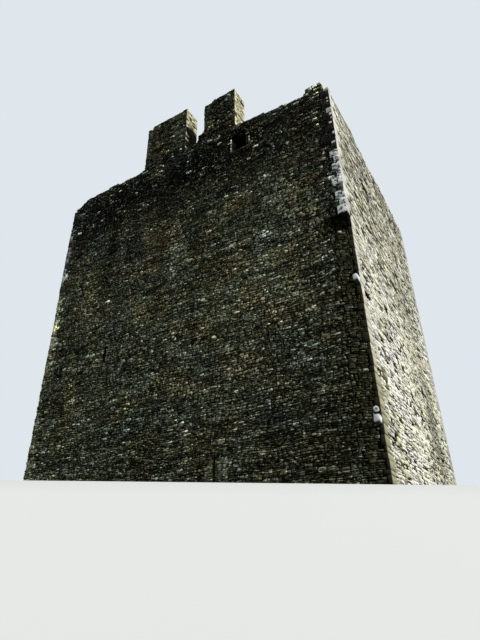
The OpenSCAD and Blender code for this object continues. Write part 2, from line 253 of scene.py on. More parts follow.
RIGHT_STAINS_AND_SHADE = [
    (0.0, 12.2, 7.0, 3.4, 0.80), (-1.8, 4.5, 1.3, 3.2, 1.3), (2.5, 3.4, 0.75, 2.4, 0.36),
    # (0.0, 8.27) is painted shade in the pocket of a lost stone
    (-3.9, 5.8, 0.8, 2.4, 1.3), (-3.9, 1.8, 1.0, 1.8, 0.9), (0.0, 8.27, 0.55, 0.12, 0.08),
    (1.8, 8.4, 1.0, 1.0, 0.8), (4.2, 6.5, 0.9, 6.0, 1.22), (0.6, 7.8, 1.3, 0.7, 0.85),
    (-2.6, 4.0, 1.5, 2.4, 1.1), (-3.1, 1.9, 0.5, 0.5, 0.7), (2.1, 0.8, 0.5, 0.8, 0.6),
    (3.2, 11.7, 0.15, 0.15, 0.2), (-3.8, 10.8, 0.12, 0.15, 0.2), (0.1, 4.1, 0.12, 0.1, 0.1)
]
MOSS = np.array((0.066, 0.067, 0.033))
FRONT_MOSS = [
    (2.0, 10.2, 1.3, 0.9, 0.7), (-0.9, 9.8, 0.5, 0.8, 0.6), (-4.7, 9.5, 1.0, 0.5, 0.6),
    (3.9, 6.5, 0.5, 0.9, 0.6), (1.4, 15.75, 0.3, 0.25, 1.0), (-1.9, 14.5, 0.4, 0.4, 0.6),
    (2.85, 13.4, 0.2, 0.3, 1.0), (-4.6, 5.5, 1.5, 1.2, 0.3), (0.6, 5.9, 1.5, 0.4, 0.4),
    (5.45, 14.0, 0.35, 0.25, 0.9), (0.6, 7.4, 2.0, 1.4, 0.45)
]

# Single stones that catch the eye: place, to the nearest 0.1 m, and colour
WHITE, CREAM, TEAL, OLIVE, FOOT, BRIGHT = np.array((
    (0.47, 0.48, 0.42), (0.27, 0.27, 0.20), (0.07, 0.11, 0.095), (0.095, 0.09, 0.03),
    (0.42, 0.42, 0.26), (0.70, 0.70, 0.66)))
ACCENTS = [
    (-3.9, 13.3, CREAM), (-2.2, 13.3, WHITE), (-1.4, 13.7, WHITE), (-1.1, 13.6, WHITE),
    (-1.0, 13.8, CREAM), (-1.3, 13.5, CREAM), (-5.5, 12.2, WHITE), (-1.8, 10.4, WHITE),
    (-0.2, 9.4, WHITE), (-0.4, 8.9, OLIVE), (-3.0, 8.5, CREAM), (-3.1, 8.1, WHITE),
    (0.3, 13.9, CREAM), (1.3, 13.9, WHITE), (1.6, 13.9, CREAM), (0.8, 12.3, CREAM),
    (3.1, 12.4, WHITE), (2.4, 12.0, CREAM), (2.8, 12.0, WHITE), (3.2, 12.0, CREAM),
    (0.5, 11.0, CREAM), (3.5, 10.8, WHITE), (2.7, 10.5, CREAM), (1.9, 10.7, CREAM),
    (4.6, 10.9, WHITE), (4.4, 10.4, CREAM), (5.5, 10.7, WHITE), (-2.5, 7.4, WHITE),
    (-5.0, 6.7, WHITE), (0.4, 4.8, CREAM), (2.1, 5.3, CREAM), (2.4, 5.2, CREAM),
    (2.2, 4.6, TEAL), (2.6, 4.6, TEAL), (4.9, 7.5, TEAL), (5.2, 7.5, TEAL), (4.9, 1.2, TEAL),
    (-2.8, 3.5, OLIVE), (-1.0, 3.6, OLIVE), (-4.2, 5.2, OLIVE), (-0.5, 5.9, TEAL),
    (0.3, 6.0, TEAL), (1.6, 5.9, TEAL), (0.9, 14.8, CREAM), (1.2, 14.8, CREAM),
    (5.8, 14.0, WHITE), (5.6, 14.0, WHITE), (2.2, 16.0, CREAM), (-1.9, 16.4, CREAM),
    (1.0, 16.0, CREAM), (2.0, 13.2, WHITE), (0.3, 13.7, WHITE), (-1.3, 13.9, WHITE),
    (-1.0, 13.5, WHITE), (-1.2, 13.4, WHITE), (-3.9, 13.6, WHITE), (3.8, 13.3, CREAM),
    (3.4, 13.2, CREAM), (4.2, 13.3, CREAM), (-0.2, 9.7, WHITE), (2.0, 8.7, WHITE),
    (2.8, 10.4, WHITE), (0.9, 14.7, FOOT), (1.1, 14.7, FOOT), (1.3, 14.7, FOOT),
    (1.0, 14.6, FOOT), (5.1, 13.8, CREAM), (5.3, 13.8, CREAM), (5.4, 13.9, CREAM),
    (5.5, 13.8, BRIGHT), (5.7, 13.8, BRIGHT), (5.4, 13.5, BRIGHT), (5.6, 13.5, BRIGHT),
    (5.8, 13.7, BRIGHT), (5.6, 13.6, WHITE), (5.5, 12.7, CREAM)
]
PATCH_ACCENTS = ((0.50, 1.66), (0.44, 1.70), (0.40, 3.35), (0.46, 3.3), (0.36, 2.75),
                 (0.5, 0.45), (0.42, 0.4), (0.3, 7.6), (0.2, 5.1))

# Crusts of white lichen on the dirty upper quoins: place, level, width and height
WHITE_CHIPS = (
    (5.9, 13.1, 0.06, 0.08), (5.9, 12.95, 0.07, 0.05), (5.9, 12.5, 0.17, 0.22),
    (5.95, 12.3, 0.11, 0.12), (5.95, 12.1, 0.06, 0.08), (5.9, 11.9, 0.1, 0.09),
    (5.95, 11.4, 0.07, 0.12), (5.9, 11.0, 0.12, 0.08)
)


def chance(rng, count, share):
    return rng.uniform(0, 1, count) < share


def near(x, z, px, pz, rx, rz):
    """1 at a place and less away from it, over a half width and a half height."""
    return np.exp(-((x - px) / rx) ** 2 - ((z - pz) / rz) ** 2)


def nearest(found, u, v):
    """The stone nearest to a place, with levels counted double."""
    return np.argmin((found[:, 0] - u) ** 2 + 4 * (found[:, 1] - v) ** 2)


def varied(rng, color, count, spread):
    """One colour, lighter or darker by a random share."""
    return np.array(color) * np.exp(rng.normal(0, spread, (count, 1)))


def pick_colors(rng, slates, count, spread):
    """A colour of the palette for each stone, lighter or darker by a random share."""
    palette, odds = slates
    chosen = np.array(palette)[rng.choice(len(palette), size=count, p=odds)]
    return chosen * varied(rng, 1.0, count, spread) * rng.normal(1, 0.02, (count, 3))


def stained_and_shaded(colors, x, z, patches):
    """Multiplies colours by soft round patches: stains, and in a few, painted shade."""
    tone = np.ones(len(x))
    for *spot, factor in patches:
        tone = tone * (1 + (factor - 1) * near(x, z, *spot))
    return colors * tone[:, None]


def mossed(rng, colors, x, z, patches):
    """Turns stones olive where moss grows, keeping their own light and dark."""
    share = np.zeros(len(colors))
    for *spot, amount in patches:
        share = np.maximum(share, amount * near(x, z, *spot))
    share = np.clip(share * rng.uniform(0.3, 1.2, len(colors)), 0, 0.9)[:, None]
    light = colors.mean(1, keepdims=True) / np.mean(MOSS)
    return colors * (1 - share) + MOSS * np.clip(light, 0.35, 2.2) * share


def front_colors(rng, x, z):
    colors = pick_colors(rng, DARK_SLATES, len(x), 0.28)
    colors = mossed(rng, colors, x, z, FRONT_MOSS)
    cool = near(x, z, -4.2, 12.8, 2.2, 1.8)[:, None]
    green = near(x, z, -3.5, 2.6, 3.2, 2.4)[:, None]
    colors = colors * (1 + cool * np.array([-0.05, 0.0, 0.13]) + green * np.array([0, 0.10, 0.12]))
    colors = stained_and_shaded(colors, x, z, FRONT_STAINS_AND_SHADE)
    fleck = chance(rng, len(x), 0.008 + 0.04 * np.clip((z - 9.5) / 3.0, 0, 1))
    colors[fleck] = WHITE * rng.uniform(0.12, 1.05, (fleck.sum(), 1)) ** 1.3
    return colors


def right_colors(rng, y, z):
    colors = pick_colors(rng, PALE_SLATES, len(y), 0.2)
    # Some stones, more of them higher up, are darkened to stand for shaded open joints: painted
    # shade
    black = chance(rng, len(y), 0.05 + 0.28 * np.clip((z - 5.5) / 6.0, 0, 1))
    colors[black] *= rng.uniform(0.1, 0.55, (black.sum(), 1))
    return np.minimum(stained_and_shaded(colors, y, z, RIGHT_STAINS_AND_SHADE), 0.86)


def hidden_colors(rng, u, z):
    """The two sides that the photograph doesn't show: like the front, a little lighter."""
    colors = pick_colors(rng, DARK_SLATES, len(u), 0.34) * 1.25
    streak = 0.72 + 0.28 * np.sin(u * 1.7 + 2.0 * np.sin(u * 0.6))
    dark_top = 1 - 0.45 * np.clip((z - 10.2) / 2.0, 0, 1)
    return colors * (dark_top * (0.7 + 0.4 * streak))[:, None]


PATCH_SHADOW_FROM = 7.62


def patch_colors(rng, u, z):
    """The patch at the near corner: dark slates made darker as painted shade, and nearly black
    under the dressed stones as painted shadow.
    """
    dark = 0.62 * np.where(z > PATCH_SHADOW_FROM, 0.12, 1.0)
    return (pick_colors(rng, PATCH_SLATES, len(u), 0.15) * dark[:, None]
            * np.array([1.0, 0.98, 0.80]))


def patch_arris_colors(rng, y, z):
    """Smooth slabs, cream above and olive with damp near the ground."""
    high = np.clip((z - 2.9) / 1.2, 0, 1)[:, None]
    tone = np.array([0.33, 0.32, 0.205]) * (1 - high) + np.array([0.60, 0.585, 0.49]) * high
    return tone * rng.uniform(0.85, 1.12, (len(y), 1))


def pale_side(rng, y, z):
    return pick_colors(rng, PALE_SLATES, len(y), 0.16) * np.array([0.84, 0.82, 0.69])


def painted_shadow_side(rng, y, z):
    """The crenel's side of the wide merlon: pale at the top only, with the narrow merlon's shadow
    painted dark below.
    """
    painted_shadow = 0.05 + 0.95 / (1 + np.exp(-(z - 15.62 - 0.4 * np.clip(y, 0, 0.7)) / 0.04))
    return pale_side(rng, y, z) * painted_shadow[:, None]


def painted_shadow_arris(rng, y, z):
    """The front corner of that side: most stones below the top painted dark as shadow, a few left
    pale further down.
    """
    lit = (z > 15.6) | chance(rng, len(z), 0.35)
    return pale_side(rng, y, z) * np.where(lit, 1.0, 0.06)[:, None]


def crusted(rng, x, z):
    """The top stones of the front: some with a white crust."""
    colors = front_colors(rng, x, z) * 1.4
    white = chance(rng, len(x), 0.16)
    colors[white] = WHITE * rng.uniform(0.4, 1.1, (white.sum(), 1))
    return colors


# Rubble

def lay_courses(rng, width, base, height, coarse, lengths):
    """Thin slates in rough bands: rows of u0, u1, v0, v1."""
    rows = []
    v = base
    while v < height:
        band = rng.uniform(*BAND_HEIGHT) * coarse
        u = -rng.uniform(0, RUN_LENGTH[0])
        while u < width:
            layers = 1 + rng.choice(len(LAYER_ODDS), p=LAYER_ODDS)
            run = rng.uniform(*RUN_LENGTH) * coarse if layers > 1 else rng.uniform(*SINGLE_LENGTH)
            shares = rng.uniform(0.55, 1.45, layers)
            low = v
            for thick in band * shares / shares.sum():
                place = u
                while place < u + run - 0.02:
                    length = rng.uniform(*lengths) * coarse if layers > 1 else run
                    end = min(place + length, u + run)
                    if u + run - end < 0.09:
                        end = u + run
                    rows.append((place, end, low, low + thick))
                    place = end
                low += thick
            u += run
        v += band
    return np.array(rows)


def waves(rng, u, v, size, lengths=(2.2, 7.0), count=6):
    """Smooth unevenness over a wall, and its slope along the wall."""
    total, slope = np.zeros_like(u), np.zeros_like(u)
    for _ in range(count):
        k = 2 * math.pi / rng.uniform(*lengths)
        turn, phase = rng.uniform(-0.7, 0.7), rng.uniform(0, 2 * math.pi)
        ku, kv = k * math.cos(turn), k * math.sin(turn)
        total += np.sin(ku * u + kv * v + phase)
        slope += ku * np.cos(ku * u + kv * v + phase)
    return total * size / count, slope * size / count


def trimmed(rows, hole):
    """Cuts each stone that reaches into a hole back on the side where that costs least."""
    u0, u1, v0, v1 = rows.T.copy()
    a, b, c, d = hole
    inside = (u0 < b) & (u1 > a) & (v0 < d) & (v1 > c)
    wide, tall = u1 - u0, v1 - v0
    side = np.argmin([(u1 - a) / wide, (b - u0) / wide, (v1 - c) / tall, (d - v0) / tall], 0)
    for k, (edge, limit) in enumerate(((u1, a), (u0, b), (v1, c), (v0, d))):
        edge[inside & (side == k)] = limit
    kept = (u1 - u0 > SHORTEST) & (v1 - v0 > THINNEST)
    return np.stack([u0, u1, v0, v1], 1)[kept], kept


def rubble_on(rng, face, height, top, coarse=1.0, joint=JOINT, skew=1.0, lost=0.012,
              lengths=STONE_LENGTH):
    """The stones of a face: a row of middle, half sizes and turn for each one."""
    rows = lay_courses(rng, face.width, face.base, height, coarse, lengths)
    mid_u, mid_v = rows[:, :2].mean(1), rows[:, 2:].mean(1)
    lift, slope = waves(rng, mid_u, mid_v, 0.13, (1.5, 6.0))
    shift, _ = waves(rng, mid_u, mid_v, 0.05)
    jolt = rng.normal(0, 0.004, len(rows))
    rows += np.stack([shift, shift, lift + jolt, lift + jolt], 1)
    edges = [(-FAR, 0.0, -FAR, FAR), (face.width, FAR, -FAR, FAR),
             (-FAR, FAR, -FAR, face.base + 0.004)]
    for hole in edges + face.holes:
        rows, kept = trimmed(rows, hole)
        slope = slope[kept]
    mid_u, mid_v = rows[:, :2].mean(1), rows[:, 2:].mean(1)
    half_u, half_v = (rows[:, 1] - rows[:, 0]) / 2, (rows[:, 3] - rows[:, 2]) / 2
    kept = mid_v + 0.25 * half_v < np.interp(mid_u, *top)
    kept &= ~chance(rng, len(rows), lost)
    open_ = rng.uniform(0, 1, (2, len(rows))) ** skew
    gap_u, gap_v = joint[0] / 2 + (joint[1] - joint[0]) / 2 * open_
    half_u, half_v = np.maximum(half_u - gap_u, 0.016), np.maximum(half_v - gap_v, 0.009)
    return np.stack([mid_u, mid_v, half_u, half_v, slope * 0.8], 1)[kept]


def slate_outline(rng, w, h, turn):
    """Eight points round each stone: a rectangle with its corners split off at random."""
    w, h, n = w[:, None], h[:, None], len(w)
    corner, level = [0, 1, 1, 2, 2, 3, 3, 0], np.array([0, 0, 1, 1, 0, 0, 1, 1])
    cut_u = np.minimum(h * rng.uniform(0.1, 1.1, (n, 4)), w * 0.4)[:, corner] * level
    cut_v = (h * rng.uniform(0.08, 0.75, (n, 4)))[:, corner] * (1 - level)
    u = (w - cut_u) * np.array([1, 1, 1, -1, -1, -1, -1, 1])
    v = (h - cut_v) * np.array([-1, 1, 1, 1, 1, -1, -1, -1])
    u = u + np.minimum(w, 0.2) * rng.normal(0, 0.03, (n, RING))
    v = v * (1 + rng.uniform(-0.16, 0.16, (n, 1)) * u / w) + h * rng.normal(0, 0.05, (n, RING))
    c, s = np.cos(turn)[:, None], np.sin(turn)[:, None]
    return u * c - v * s, u * s + v * c


def add_slates(rng, builder, face, stones, colors, side_tone=0.8, tilt=1.0, most_out=MAX_OUT):
    """Adds every stone as a shell: a ring in the wall, a ring in front and the split face."""
    n, each = len(stones), 2 * RING + 1
    if not n:
        return
    mid_u, mid_v, w, h, turn = stones.T
    u, v = slate_outline(rng, w, h, turn)
    swell, slope = waves(rng, mid_u, mid_v, 0.03, (1.0, 4.0))
    out = rng.uniform(0.25, 0.9, n) * most_out + swell
    lean_u, lean_v = rng.normal(0, 0.045, n) + slope * tilt, rng.normal(0, 0.12 * tilt, n)
    inset = rng.uniform(0.003, 0.010, n)
    in_u, in_v = (np.clip(1 - inset / half, 0.6, 1)[:, None] for half in (w, h))
    front = out[:, None] + lean_u[:, None] * u + lean_v[:, None] * v
    front = np.clip(front + rng.normal(0, 0.0018, (n, RING)), 0.004, most_out)
    middle = np.clip(front.mean(1) + rng.uniform(-0.001, 0.005, n), 0.004, most_out)
    points = face.place(
        mid_u[:, None] + np.concatenate([u, u * in_u, np.zeros((n, 1))], 1),
        mid_v[:, None] + np.concatenate([v, v * in_v, np.zeros((n, 1))], 1),
        np.concatenate([np.full((n, RING), -EMBED), front, middle[:, None]], 1))
    points[..., 2] = np.maximum(points[..., 2], OFF_GROUND)
    rgba = np.ones((n, each, 4))
    rgba[..., :3] = colors[:, None, :]
    # The ring in the wall is darker, so each stone's sides darken towards the wall: painted shade
    rgba[:, :RING, :3] *= side_tone * 0.3
    rgba[:, -1, 3] = 0.0
    step = (np.arange(n) * each)[:, None, None]
    builder.add(points, rgba.reshape(-1, 4), shell_quads(2, RING) + step,
                fan(RING, RING, 2 * RING) + step)


# Stones that turn a corner

class Corner:
    """An arris between two faces, and the ways in which the faces leave it."""

    def __init__(self, rng, builder, faces, arris, ways):
        self.rng, self.builder, self.faces = rng, builder, faces
        self.arris, self.ways = np.array([*arris, 0.0]), [np.array([*way, 0.0]) for way in ways]

    def clear(self, low, high, reaches):
        """Keeps the rubble of both faces off a stone of this corner."""
        for face, way, reach in zip(self.faces, self.ways, reaches):
            ends = np.sort([self.arris, self.arris + way * reach], 0)[:, :2]
            face.hole((*ends[0], low), (*ends[1], high), 0.004)

    def stone(self, low, high, reaches, out, colors, round_=0.012, rough=0.003):
        """One stone, which reaches along both faces and stands out from them."""
        arris, (d1, d2) = self.arris, self.ways
        cos = float(d1 @ d2)
        outs = [n / np.linalg.norm(n) for n in (cos * d1 - d2, cos * d2 - d1)]
        rows = []
        for z, o in ((low, out - round_), (low + round_, out), ((low + high) / 2, out),
                     (high - round_, out), (high, out - round_)):
            tip = arris + o * sum(outs) / (1 + float(outs[0] @ outs[1]))
            first, second = (
                [arris + r * d + depth * n
                 for r, depth in ((reach, -EMBED), (reach, o - round_), (reach - round_, o),
                                  (reach * 0.5, o))] + [tip + round_ * d]
                for d, n, reach in zip(self.ways, outs, reaches))
            row = np.array(first + second[::-1])
            size, half = len(row), len(first)
            row += self.rng.normal(0, rough, (size, 1)) * np.repeat(outs, half, 0)
            row[:, 2] = z + self.rng.normal(0, rough * 0.5, size)
            rows.append(row)
        inner = arris + reaches[0] * d1 + reaches[1] * d2
        points = np.concatenate([*rows, [inner + low * up, inner + high * up]])
        points[:, 2] = np.maximum(points[:, 2], OFF_GROUND)
        rgba = np.ones((len(rows), size, 4))
        # The lowest and highest rows of each stone are darker: painted shade along the bed joints
        rgba[..., :3] = np.repeat(colors, half, 0) * np.array([0.75, 1, 1, 1, 0.75])[:, None, None]
        rgba[:, half:, 3] = 0.2
        rgba = np.concatenate([rgba.reshape(-1, 4), np.array([[*colors[0], 1.0]] * 2) * 0.6])
        last = size * (len(rows) - 1)
        quads = shell_quads(len(rows), size, False)
        tris = np.concatenate([fan(0, size, last + size, False)[:, ::-1],
                               fan(last, size, last + size + 1, False)])
        if float(np.cross(d1, d2)[2]) > 0:
            quads, tris = quads[:, ::-1], tris[:, ::-1]
        self.builder.add(points, rgba, quads, tris)


def corner_stack(rng, builder, faces, arris, ways, low, high, reach, colors,
                 heights=(0.07, 0.17), round_=0.012, flank=None):
    """Rubble stones that turn a corner. The faces keep clear of them."""
    corner = Corner(rng, builder, faces, arris, ways)
    turn = int(rng.integers(2))
    for z, tall in cuts(rng, low, high, heights, 0.05, 0.03):
        long_, short = rng.uniform(0.6, 1.0) * reach, rng.uniform(0.25, 0.5) * reach
        reaches = (long_, short) if turn else (short, long_)
        if flank:
            reaches = (reaches[0], rng.uniform(*flank))
        turn = 1 - turn
        tones = [color(rng, np.array([at]), np.array([z]))[0] for color, at in zip(colors, arris)]
        corner.stone(z + 0.004, z + tall - 0.004, reaches, rng.uniform(0.020, 0.036), tones,
                     round_)
        corner.clear(z, z + tall, reaches)


# Blocks, flags, boards and beams

def lattice():
    """Points and outward quads of the six sides of a 4 x 4 x 4 lattice."""
    points, quads = [], []
    for axis in range(3):
        for end, order in ((0, [1, 2, 3, 0]), (3, [0, 3, 2, 1])):
            quads.append(shell_quads(4, 4, False)[:, order] + len(points))
            points += [np.roll((end, i, j), axis) for i in range(4) for j in range(4)]
    return np.array(points), np.concatenate(quads)


LATTICE, LATTICE_QUADS = lattice()
EXTREME = (LATTICE == 0) | (LATTICE == 3)
CORNER_PULL = np.where(EXTREME, np.array([0, 0, 0.3, 0.45])[EXTREME.sum(1)][:, None], 0)


def block_points(rng, halves, bevel, rough):
    """Points of worn blocks round their own middles, from one row of half sizes for each."""
    half = np.asarray(halves, float).reshape(-1, 3)
    b = np.minimum(bevel, half * 0.45)
    steps = np.stack([-half, b - half, half - b, half], 2)
    co = np.stack([steps[:, a, LATTICE[:, a]] for a in range(3)], 2)
    co = co - np.sign(co) * CORNER_PULL * b[:, None, :]
    shake = rng.normal(0, 1, (len(half), 4, 4, 4, 3))
    shake = shake[:, LATTICE[:, 0], LATTICE[:, 1], LATTICE[:, 2]]
    return co + shake * np.minimum(rough, half * 0.12)[:, None, :]


def add_blocks(builder, points, colors, painted_shade_side=None):
    """Adds worn blocks whose points are in place. One side can be painted dark as shade: its axis
    and end.
    """
    n, each = points.shape[:2]
    rgba = np.zeros((n, each, 4))
    rgba[..., :3] = np.asarray(colors)[:, None, :]
    rgba[:, EXTREME.sum(1) > 1, 3] = 1.0
    if painted_shade_side:
        rgba[:, LATTICE[:, painted_shade_side[0]] == painted_shade_side[1], :3] *= 0.08
    builder.add(points, rgba.reshape(-1, 4), LATTICE_QUADS + (np.arange(n) * each)[:, None, None])


def lay_blocks(rng, builder, middles, halves, bevel, rough, colors, low=-FAR, high=FAR,
               turns=None, painted_shade_side=None):
    """Adds worn blocks between two limits. Turns: yaw and pitch. Colours can be a function."""
    middles = np.asarray(middles, float).reshape(-1, 3)
    points = block_points(rng, halves, bevel, rough)
    if turns:
        points = np.array([
            block @ np.array(Matrix.Rotation(yaw, 3, "Z") @ Matrix.Rotation(pitch, 3, "Y")).T
            for block, (yaw, pitch) in zip(points, turns)])
    points = np.clip(points + middles[:, None, :], low, high)
    if callable(colors):
        colors = colors(rng, middles[:, 0], middles[:, 2])
    add_blocks(builder, points, colors, painted_shade_side)


def single_block(rng, builder, low, high, color, bevel=0.012, rough=0.003, painted_shade_side=None):
    """One worn stone that fills a box."""
    low, high = np.array(low), np.array(high)
    lay_blocks(rng, builder, (low + high) / 2, (high - low) / 2, bevel, rough, [color],
               low, high, painted_shade_side=painted_shade_side)


def plain_box(builder, low, high, color):
    """A closed box with flat sides, for the mass behind the stones."""
    low, high = np.array(low, float), np.array(high, float)
    bits = np.array([[i, j, k] for i in (0, 1) for j in (0, 1) for k in (0, 1)])
    quads = [[0, 1, 3, 2], [4, 6, 7, 5], [0, 4, 5, 1], [2, 3, 7, 6], [0, 2, 6, 4], [1, 5, 7, 3]]
    builder.add(low + bits * (high - low), [*color, 1.0], quads)


def cap_stones(rng, builder, start, way, length, depth, top, colors, lift=(0.0, 0.04),
               ceiling=FAR):
    """Rough flat stones along the top of a parapet or merlon, in two rows."""
    start, way = np.array(start, float), np.array(way, float)
    inward = np.array([-way[1], way[0]])
    middles, halves, turns = [], [], []
    split = depth * rng.uniform(0.4, 0.6)
    for edge, far in ((0.0, split), (split, depth)):
        for u, long_ in cuts(rng, 0.0, length, (0.12, 0.38), 0.1, 0.06):
            spot = start + way * (u + long_ / 2) + inward * (edge + far) / 2
            heads = [top(*(spot + way * shift)) for shift in (-long_ * 0.45, 0, long_ * 0.45)]
            heads = [head for head in heads if head > 1.0]
            if not heads:
                continue
            level = np.mean(heads) + 0.015 if edge else min(heads)
            crown = min(level + rng.uniform(*lift), ceiling)
            thick = rng.uniform(0.07, 0.12)
            middles.append((*spot, crown - thick / 2))
            halves.append((long_ / 2 - 0.006, (far - edge) / 2 - 0.006, thick / 2))
            turns.append((math.atan2(way[1], way[0]) + rng.normal(0, 0.02), rng.normal(0, 0.015)))
    lay_blocks(rng, builder, middles, halves, 0.018, 0.006, colors, high=(FAR, FAR, ceiling),
               turns=turns)


PAVING_TONE, BOARD_TONE, BEAM_TONE = (0.24, 0.24, 0.21), (0.20, 0.135, 0.08), (0.15, 0.10, 0.06)


def flags(rng, builder, low, high, size=(0.45, 0.95), row=(0.45, 0.75), along=0):
    """A paved area: rows of worn flags on a thin bed, along X or Y."""
    plain_box(builder, low, (*high[:2], high[2] - 0.05), np.array(PAVING_TONE) * 0.35)
    a, b, order = along, 1 - along, -1 if along else 1
    half_z = 0.035
    middles, halves = [], []
    for v, wide in cuts(rng, low[b], high[b], row, 0.25):
        for u, long_ in cuts(rng, low[a], high[a], size, 0.25):
            middles.append((*(u + long_ / 2, v + wide / 2)[::order],
                            high[2] - rng.uniform(0.0, 0.008) - half_z))
            halves.append((*(long_ / 2 - 0.006, wide / 2 - 0.006)[::order], half_z))
    lay_blocks(rng, builder, middles, halves, 0.012, 0.0025,
               varied(rng, PAVING_TONE, len(middles), 0.2), high=(FAR, FAR, high[2]))


def boards(rng, builder, low, high):
    """A boarded floor: rows of sawn boards along X, each row cut once."""
    middles, halves = [], []
    for y, wide in cuts(rng, low.y, high.y, (0.17, 0.25), 0.1):
        cut = low.x + rng.uniform(0.25, 0.75) * (high.x - low.x)
        for x0, x1 in ((low.x, cut), (cut, high.x)):
            middles.append(((x0 + x1) / 2, y + wide / 2, (low.z + high.z) / 2))
            halves.append(((x1 - x0) / 2 - 0.002, wide / 2 - 0.0025, (high.z - low.z) / 2))
    lay_blocks(rng, builder, middles, halves, 0.006, 0.0012,
               varied(rng, BOARD_TONE, len(middles), 0.18), (-FAR, -FAR, low.z),
               (FAR, FAR, high.z))


def hewn_beam(rng, builder, low, high, rings=12, chamfer=0.02):
    """An adzed beam along Y, a little uneven, with its arrises off."""
    low, high = np.array(low, float), np.array(high, float)
    (x, _, z), (half_x, _, half_z) = (low + high) / 2, (high - low) / 2
    cut_x, cut_z = 1 - chamfer / half_x, 1 - chamfer / half_z
    outline = np.array([(1, -cut_z), (1, cut_z), (cut_x, 1), (-cut_x, 1), (-1, cut_z),
                        (-1, -cut_z), (-cut_x, -1), (cut_x, -1)]) * (half_x, half_z)
    points = []
    for y in np.linspace(low[1], high[1], rings):
        ring = outline * (1 - np.abs(rng.normal(0, 0.012, (RING, 1))))
        points.append(np.stack([x + ring[:, 0], np.full(RING, y), z + ring[:, 1]], 1))
    points.append([(x, y, z) for y in (low[1], high[1])])
    base, end = (rings - 1) * RING, rings * RING
    builder.add(np.concatenate(points), [*BEAM_TONE, 0.5],
                shell_quads(rings, RING)[:, [0, 3, 2, 1]],
                np.concatenate([fan(0, RING, end), fan(base, RING, end + 1)[:, ::-1]]))


# Materials

class Nodes:
    """Adds nodes to a tree. What the methods take and return is sockets or plain values."""

    def __init__(self, tree):
        self.tree = tree

    def put(self, kind, inputs=None, **settings):
        """The outputs of a new node, with some of its settings and inputs."""
        made = self.tree.nodes.new("ShaderNode" + kind)
        for key, value in settings.items():
            setattr(made, key, value)
        for key, value in (inputs or {}).items():
            if isinstance(value, bpy.types.NodeSocket):
                self.tree.links.new(value, made.inputs[key])
            else:
                made.inputs[key].default_value = value
        return made.outputs

    def calc(self, operation, a, b=0.0):
        return self.put("Math", {0: a, 1: b}, operation=operation)[0]

    def product(self, first, *others):
        for other in others:
            first = self.calc("MULTIPLY", first, other)
        return first

    def fitted(self, value, low, high, to_low=0.0, to_high=1.0):
        """A value between two limits, moved to between two others."""
        return self.put("MapRange", {0: value, 1: low, 2: high, 3: to_low, 4: to_high},
                        clamp=True)[0]

    def blended(self, factor, a, b, kind="MIX"):
        return self.put("Mix", {0: factor, 6: a, 7: b}, data_type="RGBA", blend_type=kind)[2]

    def tinted(self, a, b):
        return self.blended(1.0, a, b, "MULTIPLY")

    def stretched(self, scale):
        """Object coordinates, scaled."""
        return self.put("Mapping", {"Vector": self.put("TexCoord")["Object"], "Scale": scale})[0]

    def noise(self, scale, stretch=(1, 1, 1), detail=4.0, roughness=0.6):
        return self.put("TexNoise", {"Vector": self.stretched(stretch), "Scale": scale,
                                     "Detail": detail, "Roughness": roughness})["Fac"]


class Surface(Nodes):
    """A material. Its stones' own colours are in stone_tone, with how near an edge as alpha."""

    def __init__(self, name):
        self.material = bpy.data.materials.new(name)
        self.material.use_nodes = True
        super().__init__(self.material.node_tree)
        self.shader = self.tree.nodes["Principled BSDF"].inputs

    def tone(self):
        return self.put("Attribute", attribute_name="stone_tone")

    def grained(self, low, high, *noise):
        """The stones' tone, the grain, and the tone made lighter and darker by the grain."""
        tone, grain = self.tone(), self.noise(*noise)
        return tone, grain, self.tinted(tone["Color"], self.fitted(grain, 0.3, 0.7, low, high))

    def finish(self, color, height, roughness, strength, distance, gloss=0.0):
        bump = self.put("Bump", {"Height": height, "Strength": strength, "Distance": distance})
        self.tree.links.new(color, self.shader["Base Color"])
        self.tree.links.new(bump[0], self.shader["Normal"])
        self.shader["Roughness"].default_value = roughness
        self.shader["Specular IOR Level"].default_value = gloss
        return self.material


def rubble_material(name, bedding, swings, ceiling, streaks, gain, floor, share, tints, lift=0.0,
                    bands=(1.8, 1.4)):
    """Split slate: its own tone, grain, pits, bedding, streaks of damp, tints and lichen.

    Swings say how much grain, pits, bedding and blotches move the tone, in doublings. Gain,
    floor and share make the lichen: how much lighter than the stone, from which tone, how full.
    """
    made = Surface(name)
    grain = made.noise(27.0, (1, 1, 2.4), 6.0, 0.7)
    pits = made.noise(12.0, (1, 1, 1.5), 3.0, 0.6)
    sheets = made.noise(bedding[0], (1, 1, bedding[1]), 4.0, 0.65)
    blotches = made.noise(bands[0], (1, 1, bands[1]), 6.0, 0.75)
    level = lift - sum(swings) / 2
    for swing, pattern in zip(swings, (grain, pits, sheets, blotches)):
        level = made.calc("ADD", made.product(pattern, swing), level)
    level = made.calc("MINIMUM", made.calc("POWER", 2.0, level), ceiling)
    damp = made.noise(1.0, (1.4, 1.4, 0.16))
    level = made.product(level, made.fitted(damp, 0.35, 0.65, streaks, 1.12))
    hue = made.fitted(made.noise(0.8, (1, 1, 1.3), 3.0), 0.38, 0.62)
    color = made.tinted(made.tinted(made.tone()["Color"], level), made.blended(hue, *tints))
    spots = made.product(
        made.fitted(made.noise(14.0, (1, 1, 1.2), 2.0, 0.55), 0.605, 0.65, 0.0, share),
        made.fitted(made.noise(1.7, (1, 1, 1), 3.0), 0.38, 0.62, 0.15))
    bright = made.put("VectorMath", {0: color, 1: (gain,) * 3, 2: floor},
                      operation="MULTIPLY_ADD")[0]
    bright = made.put("VectorMath", {0: bright, 1: (0.86, 0.85, 0.77)}, operation="MINIMUM")[0]
    return made.finish(made.blended(spots, color, bright), made.calc("ADD", grain, sheets),
                       0.92, 0.7, 0.016)


